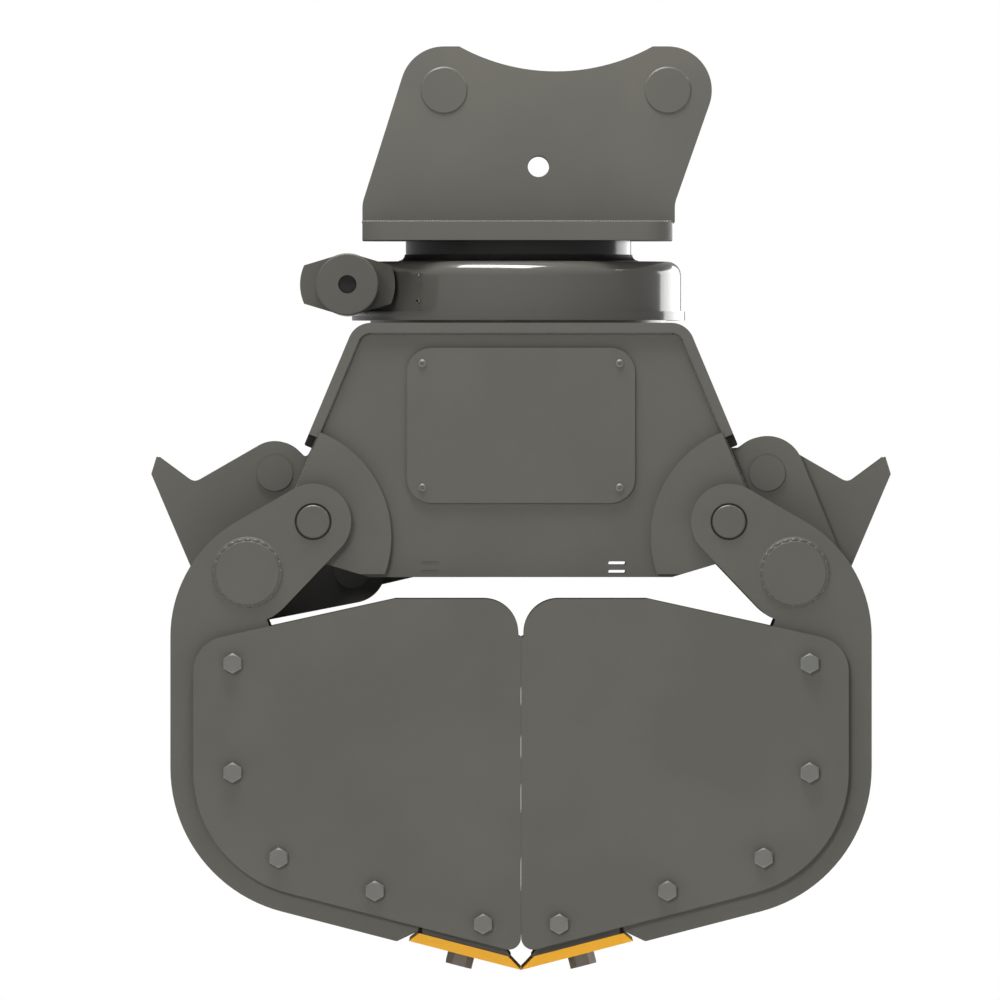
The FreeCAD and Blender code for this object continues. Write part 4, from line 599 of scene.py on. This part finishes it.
class GRAPPLE_OT_paint(bpy.types.Operator):
    """Makes the finishes and gives one to every piece of the grapple."""

    bl_idname = "grapple.paint"
    bl_label = "Paint the grapple"

    def execute(self, context):
        look = context.scene.grapple_paint
        coat = paint_group()
        rubbed = rubbed_group()
        grey = tuple(look.grey)
        gloss = tuple(look.gloss)
        dust = tuple(look.dust)
        MATERIALS["grey"] = painted(
            "Satin grey paint", coat, grey, dust, dust_amount=0.12, roughness=look.grey_roughness)
        MATERIALS["gloss"] = painted(
            "Glossy slew paint", coat, gloss, dust, dust_amount=0.05, roughness=look.gloss_roughness,
            bump=0.01, coat=0.6, spread=0.04)
        MATERIALS["black gloss"] = painted(
            "Black neck paint", coat, toned(gloss, NECK_TONE), dust, dust_amount=0.02,
            roughness=look.gloss_roughness, bump=0.01, spread=0.04)
        MATERIALS["motor"] = painted(
            "Motor paint", coat, toned(grey, MOTOR_TONE), dust, dust_amount=0.1, roughness=0.42)
        MATERIALS["yellow"] = painted(
            "Yellow edge paint", coat, tuple(look.yellow), dust, dust_amount=0.1, roughness=0.45)
        MATERIALS["pin"] = painted(
            "Painted pin ends", coat, grey, dust, dust_amount=0.05, roughness=0.36, bump=0.02)
        MATERIALS["weld"] = painted(
            "Painted weld", coat, toned(grey, WELD_TONE), dust, dust_amount=0.1, roughness=0.28)
        MATERIALS["steel"] = metal(
            "Machined steel", rubbed, color=(0.34, 0.33, 0.32), stain=(0.06, 0.05, 0.04),
            stain_amount=0.5, roughness=0.28)
        MATERIALS["plated"] = metal(
            "Dull plated steel", rubbed, color=(0.2, 0.2, 0.185), stain=(0.1, 0.095, 0.08),
            stain_amount=0.5, roughness=0.4, metallic=0.55)
        MATERIALS["chrome"] = metal(
            "Hard chrome", rubbed, color=(0.72, 0.73, 0.75), stain=(0.4, 0.4, 0.4),
            stain_amount=0.1, roughness=0.06)
        # Near-black steel, far darker than bare steel: painted shade of the ring round the pivot pins' ends.
        MATERIALS["shaded bush"] = metal(
            "Dark bush steel, painted shade", rubbed, color=(0.07, 0.066, 0.06), stain=(0.02, 0.018, 0.015),
            stain_amount=0.5, roughness=0.3)
        MATERIALS["rubber"] = rubber("Black rubber")
        finishes = (
            (GREY_PAINT, "grey"), (GLOSS_PAINT, "gloss"), (MOTOR_PAINT, "motor"), (YELLOW_PAINT, "yellow"),
            (PAINTED_PINS, "pin"), (MACHINED_STEEL, "steel"), (PLATED_STEEL, "plated"), (CHROMED, "chrome"),
            (BLACK_GLOSS, "black gloss"), (SHADED_BUSH_STEEL, "shaded bush"), (RUBBER_AND_SHADE_PADS, "rubber"),
        )
        given = set()
        for names, finish in finishes:
            for name in names:
                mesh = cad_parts[name].data
                mesh.materials.clear()
                mesh.materials.append(MATERIALS[finish])
                given.add(name)
        bare = sorted(set(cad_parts) - given)
        if bare:
            raise RuntimeError(f"no finish was chosen for {bare}")
        return {"FINISHED"}


# Welds

def ripple(length, half_width):
    """One ripple of a weld bead, lying along X."""
    deselect()
    bpy.ops.mesh.primitive_uv_sphere_add(segments=8, ring_count=6, radius=1.0)
    bead = added()
    bead.scale = (length, half_width, half_width)
    apply_place(bead)
    return bead


def bead_line(start, end, half_width, pitch):
    """Straight bead between two points."""
    run = Vector(end) - Vector(start)
    count = max(2, int(run.length / pitch))
    bead = ripple(pitch, half_width)
    rows = bead.modifiers.new("Ripples", "ARRAY")
    rows.use_relative_offset = False
    rows.use_constant_offset = True
    rows.constant_offset_displace = (run.length / count, 0.0, 0.0)
    rows.count = count + 1
    apply_modifier(bead, rows)
    turn = run.to_track_quat("X", "Z").to_matrix().to_4x4()
    bead.data.transform(Matrix.Translation(Vector(start)) @ turn)
    return bead


def bead_ring(centre, radius, half_width, count, reach=1.0):
    """Bead round an axis along Y, in which a ripple reaches this share of the pitch to each side."""
    step = 2 * math.pi / count
    bead = ripple(radius * step * reach, half_width)
    bead.data.transform(Matrix.Translation((0.0, 0.0, radius)))
    deselect()
    bpy.ops.object.empty_add(rotation=(0.0, step, 0.0))
    turner = added()
    rows = bead.modifiers.new("Ripples", "ARRAY")
    rows.use_relative_offset = False
    rows.use_object_offset = True
    rows.offset_object = turner
    rows.count = count
    apply_modifier(bead, rows)
    discard(turner)
    bead.data.transform(Matrix.Translation(centre))
    return bead


def tube_axis(shell):
    """Middle of a shell's cross tube, seen along Y, and the tube's radius at its end faces."""
    tube_node = shell + "_cross_tube"
    tube = max(solids_of(tube_node), key=lambda pair: pair[1].y - pair[0].y)
    centre = middle_of(tube)
    rim = [v.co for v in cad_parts[tube_node].data.vertices if v.co.y > tube[1].y - SAME_EDGE]
    return centre, max(math.hypot(c.x - centre.x, c.z - centre.z) for c in rim)


class GRAPPLE_OT_tube_welds(bpy.types.Operator):
    """Lays the rippled bead round both ends of each cross tube."""

    bl_idname = "grapple.tube_welds"
    bl_label = "Weld the cross tubes' ends"

    def execute(self, context):
        weld = context.scene.grapple_weld
        for shell in SHELLS:
            centre, radius = tube_axis(shell)
            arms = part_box(shell + "_arms")
            rings = []
            for y, way in ((arms[0].y, -1), (arms[1].y, 1)):
                face = Vector((centre.x, y + way * weld.tube_width * ARM_STAND_OFF, centre.z))
                rings.append(bead_ring(face, radius + weld.tube_offset, weld.tube_width, weld.ripples,
                                       TUBE_RIPPLE_REACH))
            ring = join(rings, shell + "_tube_welds")
            finish_piece(ring, MATERIALS["weld"], shell + "_shell", BEAD_SMOOTH)
        return {"FINISHED"}


class GRAPPLE_OT_lug_welds(bpy.types.Operator):
    """Lays a bead round the cross tube on both faces of every lug and fin plate."""

    bl_idname = "grapple.lug_welds"
    bl_label = "Weld the lugs to the tubes"

    def execute(self, context):
        weld = context.scene.grapple_weld
        for shell in SHELLS:
            centre, radius = tube_axis(shell)
            bead_radius = radius + weld.width * LUG_STAND_OFF
            rings = []
            for group in ("_fin_plates", "_lug_plates"):
                for low, high in solids_of(shell + group):
                    for y in (low.y, high.y):
                        rings.append(bead_ring(Vector((centre.x, y, centre.z)), bead_radius, weld.width,
                                               weld.fine_ripples))
            ring = join(rings, shell + "_lug_welds")
            finish_piece(ring, MATERIALS["weld"], shell + "_shell", BEAD_SMOOTH)
        return {"FINISHED"}


class GRAPPLE_OT_head_welds(bpy.types.Operator):
    """Lays the beads between the ears, the cross plates and the base plate."""

    bl_idname = "grapple.head_welds"
    bl_label = "Weld the head bracket"

    def execute(self, context):
        weld = context.scene.grapple_weld
        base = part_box("head_base_plate")
        top = base[1].z
        lines = []
        for ear in ("head_ear_front", "head_ear_rear"):
            low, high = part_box(ear)
            left = low.x + weld.width
            right = base[1].x - weld.width
            for y in (low.y, high.y):
                lines.append(bead_line((left, y, top), (right, y, top), weld.width, weld.pitch))
        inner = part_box("head_ear_rear")[0].y
        for low, high in solids_of("head_cross_plates"):
            for x in (low.x, high.x):
                lines.append(bead_line((x, -inner, top), (x, inner, top), weld.width, weld.pitch))
                for y in (-inner, inner):
                    lines.append(bead_line((x, y, top), (x, y, high.z), weld.width, weld.pitch))
        bead = join(lines, "head_welds")
        finish_piece(bead, MATERIALS["weld"], "head", BEAD_SMOOTH)
        return {"FINISHED"}


def side_edges(name):
    """Ends of the straight edges where a side plate meets the roof, from the plate's narrow faces."""
    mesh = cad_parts[name].data
    crown = []
    slants = {True: [], False: []}
    for face in mesh.polygons:
        corners = [mesh.vertices[index].co for index in face.vertices]
        rise, out = face.normal.z, abs(face.normal.x)
        if rise > CROWN_SHARE:
            crown += corners
        elif rise > SLANT_UP_SHARE and out > SLANT_OUT_SHARE and face.area > SLANT_LEAST_AREA:
            slants[face.normal.x > 0] += corners
    top = max(corner.z for corner in crown)
    ridge = [corner for corner in crown if corner.z > top - SAME_EDGE]
    edges = [(min(ridge, key=lambda c: c.x), max(ridge, key=lambda c: c.x))]
    for corners in slants.values():
        edges.append((max(corners, key=lambda c: c.z), min(corners, key=lambda c: c.z)))
    return edges


class GRAPPLE_OT_frame_welds(bpy.types.Operator):
    """Lays the beads between the frame's roof plate and its two side plates."""

    bl_idname = "grapple.frame_welds"
    bl_label = "Weld the frame"

    def execute(self, context):
        weld = context.scene.grapple_weld
        lines = []
        for name, way in (("frame_side_front", 0), ("frame_side_rear", 1)):
            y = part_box(name)[way].y
            for begin, end in side_edges(name):
                lines.append(bead_line((begin.x, y, begin.z), (end.x, y, end.z), weld.width, weld.pitch))
        bead = join(lines, "frame_welds")
        finish_piece(bead, MATERIALS["weld"], "frame", BEAD_SMOOTH)
        return {"FINISHED"}


# Bolts and small fittings

def turned_bar(radius, low, high, facets, chamfer=0.0):
    """Round bar along Z, its upper end chamfered."""
    deselect()
    bpy.ops.mesh.primitive_cylinder_add(vertices=facets, radius=radius, depth=high - low - chamfer,
                                        location=(0.0, 0.0, (low + high - chamfer) / 2))
    bar = added()
    apply_place(bar)
    if chamfer:
        bpy.ops.object.mode_set(mode="EDIT")
        select_faces_near(bar, high - chamfer)
        bpy.ops.mesh.extrude_region_move(TRANSFORM_OT_translate={"value": (0.0, 0.0, chamfer)})
        share = (radius - chamfer * CHAMFER_SLOPE) / radius
        bpy.ops.transform.resize(value=(share, share, 1.0))
        bpy.ops.object.mode_set(mode="OBJECT")
    return bar


def hexagon(flats, low, high, facets, chamfer):
    """Hexagon head or nut along Z, its upper corners turned off by a chamfer."""
    reach = flats / 2 / math.cos(math.radians(30))
    deselect()
    bpy.ops.mesh.primitive_cylinder_add(vertices=6, radius=reach, depth=high - low,
                                        location=(0.0, 0.0, (low + high) / 2))
    head = added()
    apply_place(head)
    envelope = turned_bar(reach * CORNER_CUTTER_SHARE, low - OVERLAP, high, facets * 2, chamfer)
    cut_piece(head, envelope, "INTERSECT")
    return head


def outward_turn(centre):
    """Turn that points a piece along Z to the side of the grapple on which its centre lies."""
    return FRONT if centre.y < 0 else REAR


class GRAPPLE_OT_side_bolts(bpy.types.Operator):
    """Replaces the side plates' bolts by ones with chamfered heads and nuts."""

    bl_idname = "grapple.side_bolts"
    bl_label = "Fit the side plate bolts"

    def execute(self, context):
        sizes = context.scene.grapple_bolt
        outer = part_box("left_side_plates")[1].y
        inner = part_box("left_arms")[1].y - min(high.y - low.y for low, high in solids_of("left_arms"))
        for shell in SHELLS:
            bolts = []
            for low, high in solids_of(shell + "_side_bolts"):
                centre = middle_of((low, high))
                flats = high.x - low.x
                end = max(abs(low.y), abs(high.y))
                start = min(abs(low.y), abs(high.y))
                if not bolts:
                    head = hexagon(flats, outer, end, sizes.facets, sizes.chamfer)
                    nut = hexagon(flats, start, inner, sizes.facets, 0.0)
                    shank = turned_bar(flats / FLATS_BY_SHANK, start, outer + OVERLAP, sizes.facets)
                    model = join([head, nut, shank], "side bolt")
                place = Matrix.Translation((centre.x, 0.0, centre.z))
                bolts.append(copy_at(model, place @ outward_turn(centre)))
            discard(model)
            group = join(bolts, shell + "_dressed_side_bolts")
            finish_piece(group, MATERIALS["plated"], shell + "_shell", BOLT_SMOOTH)
            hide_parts(shell + "_side_bolts")
        return {"FINISHED"}


class GRAPPLE_OT_cover_screws(bpy.types.Operator):
    """Replaces the covers' screws by button heads with a hexagon socket."""

    bl_idname = "grapple.cover_screws"
    bl_label = "Fit the cover screws"

    def execute(self, context):
        sizes = context.scene.grapple_bolt
        screws = []
        for low, high in solids_of("cover_screws"):
            centre = middle_of((low, high))
            radius = (high.x - low.x) / 2
            end = max(abs(low.y), abs(high.y))
            start = min(abs(low.y), abs(high.y))
            seat = end - sizes.screw_head
            if not screws:
                button = turned_bar(radius, seat, end, sizes.facets, sizes.screw_chamfer)
                socket = hexagon(radius * SOCKET_SHARE, end - sizes.socket_depth, end + OVERLAP,
                                 sizes.facets, 0.0)
                cut_piece(button, socket, "DIFFERENCE")
                shank = turned_bar(radius * SCREW_SHANK_SHARE, start, seat + OVERLAP, sizes.facets)
                model = join([button, shank], "cover screw")
            place = Matrix.Translation((centre.x, 0.0, centre.z))
            screws.append(copy_at(model, place @ outward_turn(centre)))
        discard(model)
        group = join(screws, "dressed_cover_screws")
        finish_piece(group, MATERIALS["plated"], "frame", BOLT_SMOOTH)
        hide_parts("cover_screws")
        return {"FINISHED"}


class GRAPPLE_OT_grease_plugs(bpy.types.Operator):
    """Adds the two small plugs, one above the other, in the slew housing's front."""

    bl_idname = "grapple.grease_plugs"
    bl_label = "Fit the housing plugs"

    def execute(self, context):
        sizes = context.scene.grapple_bolt
        fitting = context.scene.grapple_fitting
        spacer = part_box("slew_spacer")
        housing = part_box("slew_housing")
        centre = middle_of(spacer)
        radius = housing[1].y - centre.y
        across = fitting.plug_across
        out = math.sqrt(radius ** 2 - across ** 2)
        angle = math.atan2(across, out)
        plugs = []
        for drop in (fitting.plug_drop, fitting.plug_drop + fitting.plug_step):
            plug = hexagon(fitting.plug_flats, -fitting.plug_root, fitting.plug_height, sizes.facets,
                           fitting.plug_chamfer)
            turn = Matrix.Rotation(angle, 4, "Z") @ FRONT
            place = Matrix.Translation((centre.x + across, centre.y - out, housing[1].z - drop))
            plug.data.transform(place @ turn)
            plugs.append(plug)
        group = join(plugs, "housing_plugs")
        finish_piece(group, MATERIALS["chrome"], "frame", BOLT_SMOOTH)
        return {"FINISHED"}


class GRAPPLE_OT_port_shade_plug(bpy.types.Operator):
    """Closes the port in the slew motor's end with a near-black rubber disc, which paints the port's deep
    shade black.
    """

    bl_idname = "grapple.dust_plug"
    bl_label = "Plug the motor's port"

    def execute(self, context):
        fitting = context.scene.grapple_fitting
        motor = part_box("slew_motor")
        cap = middle_of(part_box("worm_end_cap"))
        bed = motor[0].y + fitting.port_shade_plug_depth
        deselect()
        # The disc's near-black rubber is painted shade: it makes the port's hollow look black.
        bpy.ops.mesh.primitive_cylinder_add(
            vertices=48, radius=fitting.port_shade_plug_radius, depth=fitting.port_shade_plug_depth,
            location=(cap.x, bed + fitting.port_shade_plug_depth / 2, cap.z), rotation=(math.radians(90), 0.0, 0.0))
        plug = added()
        apply_place(plug)
        plug.name = "motor_port_shade_plug"
        finish_piece(plug, MATERIALS["rubber"], "frame")
        return {"FINISHED"}


class GRAPPLE_OT_cylinder_trim(bpy.types.Operator):
    """Adds the wiper ring at the rod."""

    bl_idname = "grapple.cylinder_trim"
    bl_label = "Trim the cylinder"

    def execute(self, context):
        fitting = context.scene.grapple_fitting
        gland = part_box("cylinder_gland")
        axis_z = (gland[0].z + gland[1].z) / 2
        rod_radius = max(abs(v.co.y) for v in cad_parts["cylinder_rod"].data.vertices
                         if v.co.x < gland[1].x)
        deselect()
        bpy.ops.mesh.primitive_torus_add(
            location=(gland[1].x, 0.0, axis_z), rotation=(0.0, math.radians(90), 0.0),
            major_radius=rod_radius + fitting.wiper_radius, minor_radius=fitting.wiper_lip,
            major_segments=64, minor_segments=12)
        wiper = added()
        apply_place(wiper)
        wiper.name = "rod_wiper"
        finish_piece(wiper, MATERIALS["rubber"], "cylinder_body", BEAD_SMOOTH)
        return {"FINISHED"}


# Stage

def floor_material(fade_start, fade_end):
    """Pale floor that fades into the white surroundings and can't be seen from below."""
    material, tree, shader = new_material("Pale floor")
    shader.inputs["Base Color"].default_value = (0.9, 0.9, 0.9, 1.0)
    shader.inputs["Roughness"].default_value = 0.9
    shader.inputs["Specular IOR Level"].default_value = 0.0
    place = node(tree, "ShaderNodeTexCoord")
    distance = node(tree, "ShaderNodeVectorMath", operation="LENGTH")
    tree.links.new(place.outputs["Object"], distance.inputs[0])
    fade = node(tree, "ShaderNodeMapRange", interpolation_type="SMOOTHSTEP")
    fade.inputs["From Min"].default_value = fade_start
    fade.inputs["From Max"].default_value = fade_end
    tree.links.new(distance.outputs["Value"], fade.inputs["Value"])
    white = node(tree, "ShaderNodeEmission")
    white.inputs["Color"].default_value = (1.0, 1.0, 1.0, 1.0)
    faded = blended_shaders(tree, fade.outputs["Result"], shader.outputs["BSDF"], white.outputs["Emission"])
    under = node(tree, "ShaderNodeNewGeometry")
    clear = node(tree, "ShaderNodeBsdfTransparent")
    sided = blended_shaders(tree, under.outputs["Backfacing"], faded, clear.outputs["BSDF"])
    tree.links.new(sided, tree.nodes["Material Output"].inputs["Surface"])
    return material


def studio_world(ambient):
    """White surroundings that light the grapple more softly than they look."""
    world = bpy.data.worlds.new("White studio")
    world.use_nodes = True
    tree = world.node_tree
    tree.nodes.clear()
    leave = node(tree, "ShaderNodeOutputWorld")
    seen = node(tree, "ShaderNodeBackground")
    seen.inputs["Strength"].default_value = 1.0
    seen.inputs["Color"].default_value = (1.0, 1.0, 1.0, 1.0)
    light = node(tree, "ShaderNodeBackground")
    light.inputs["Color"].default_value = (1.0, 1.0, 1.0, 1.0)
    light.inputs["Strength"].default_value = ambient
    path = node(tree, "ShaderNodeLightPath")
    blend = blended_shaders(tree, path.outputs["Is Camera Ray"], light.outputs["Background"],
                            seen.outputs["Background"])
    tree.links.new(blend, leave.inputs["Surface"])
    bpy.context.scene.world = world


def area_light(name, middle, power, mirrored=True, lighting=True):
    """Soft light aimed at the grapple, which the camera can't see.

    It shows in glossy pieces if mirrored, and lights matt ones if lighting.
    """
    offset, (width, height) = LIGHTS[name]
    place = middle + Vector(offset)
    deselect()
    bpy.ops.object.light_add(type="AREA", location=place)
    lamp = added()
    lamp.name = name
    lamp.data.shape = "RECTANGLE"
    lamp.data.size = width
    lamp.data.size_y = height
    lamp.data.energy = power
    lamp.rotation_euler = (middle - place).to_track_quat("-Z", "Y").to_euler()
    lamp.visible_camera = False
    lamp.visible_glossy = mirrored
    lamp.visible_diffuse = lighting


class GRAPPLE_OT_stage(bpy.types.Operator):
    """Makes the floor, the white surroundings, the lights and the camera."""

    bl_idname = "grapple.stage"
    bl_label = "Set the stage"

    def execute(self, context):
        stage = context.scene.grapple_stage
        low, high = cad_box
        middle = (low + high) / 2
        deselect()
        bpy.ops.mesh.primitive_circle_add(vertices=96, radius=stage.floor_radius, fill_type="NGON",
                                          location=(middle.x, middle.y, low.z - stage.floor_drop))
        floor = added()
        floor.name = "floor"
        floor.data.materials.append(floor_material(stage.fade_start, stage.fade_end))
        studio_world(stage.ambient)
        area_light("front_light", middle, stage.key, mirrored=False)
        area_light("top_light", middle, stage.top)
        area_light("right_rim_light", middle, stage.rim)
        area_light("glint_light", middle, stage.glint, lighting=False)
        half = stage.picture_width / 2
        deselect()
        bpy.ops.object.camera_add(rotation=(math.radians(90), 0.0, 0.0))
        camera = added()
        camera.name = "camera"
        camera.data.lens = stage.lens
        distance = stage.picture_width * stage.lens / camera.data.sensor_width
        camera.location = (stage.picture_left + half, stage.true_plane - distance, stage.picture_foot + half)
        camera.data.clip_start = 1.0
        camera.data.clip_end = 4 * distance
        context.scene.camera = camera
        context.scene.view_settings.view_transform = "Standard"
        return {"FINISHED"}


OPERATORS = (
    GRAPPLE_OT_paint, GRAPPLE_OT_tube_welds, GRAPPLE_OT_lug_welds, GRAPPLE_OT_head_welds,
    GRAPPLE_OT_frame_welds, GRAPPLE_OT_side_bolts, GRAPPLE_OT_cover_screws, GRAPPLE_OT_grease_plugs,
    GRAPPLE_OT_port_shade_plug, GRAPPLE_OT_cylinder_trim, GRAPPLE_OT_stage,
)


SETTINGS = (
    (PaintSettings, "grapple_paint"), (WeldSettings, "grapple_weld"),
    (BoltSettings, "grapple_bolt"), (FittingSettings, "grapple_fitting"), (StageSettings, "grapple_stage"),
)


class GRAPPLE_PT_panel(bpy.types.Panel):
    """Lists the grapple's settings, and its steps in the order in which they are run."""

    bl_idname = "GRAPPLE_PT_panel"
    bl_label = "Sorting grapple"
    bl_space_type = "VIEW_3D"
    bl_region_type = "UI"
    bl_category = "Grapple"

    def draw(self, context):
        for settings, name in SETTINGS:
            box = self.layout.box()
            for value in settings.__annotations__:
                box.prop(getattr(context.scene, name), value)
        for operator in OPERATORS:
            self.layout.operator(operator.bl_idname)


def register():
    for settings, name in SETTINGS:
        bpy.utils.register_class(settings)
        setattr(bpy.types.Scene, name, bpy.props.PointerProperty(type=settings))
    for operator in OPERATORS:
        bpy.utils.register_class(operator)
    bpy.utils.register_class(GRAPPLE_PT_panel)


def unregister():
    bpy.utils.unregister_class(GRAPPLE_PT_panel)
    for operator in reversed(OPERATORS):
        bpy.utils.unregister_class(operator)
    for settings, name in reversed(SETTINGS):
        delattr(bpy.types.Scene, name)
        bpy.utils.unregister_class(settings)


def main():
    register()
    bpy.ops.grapple.paint()
    bpy.ops.grapple.tube_welds()
    bpy.ops.grapple.lug_welds()
    bpy.ops.grapple.head_welds()
    bpy.ops.grapple.frame_welds()
    bpy.ops.grapple.side_bolts()
    bpy.ops.grapple.cover_screws()
    bpy.ops.grapple.grease_plugs()
    bpy.ops.grapple.dust_plug()
    bpy.ops.grapple.cylinder_trim()
    bpy.ops.grapple.stage()


if __name__ == "__main__":
    main()
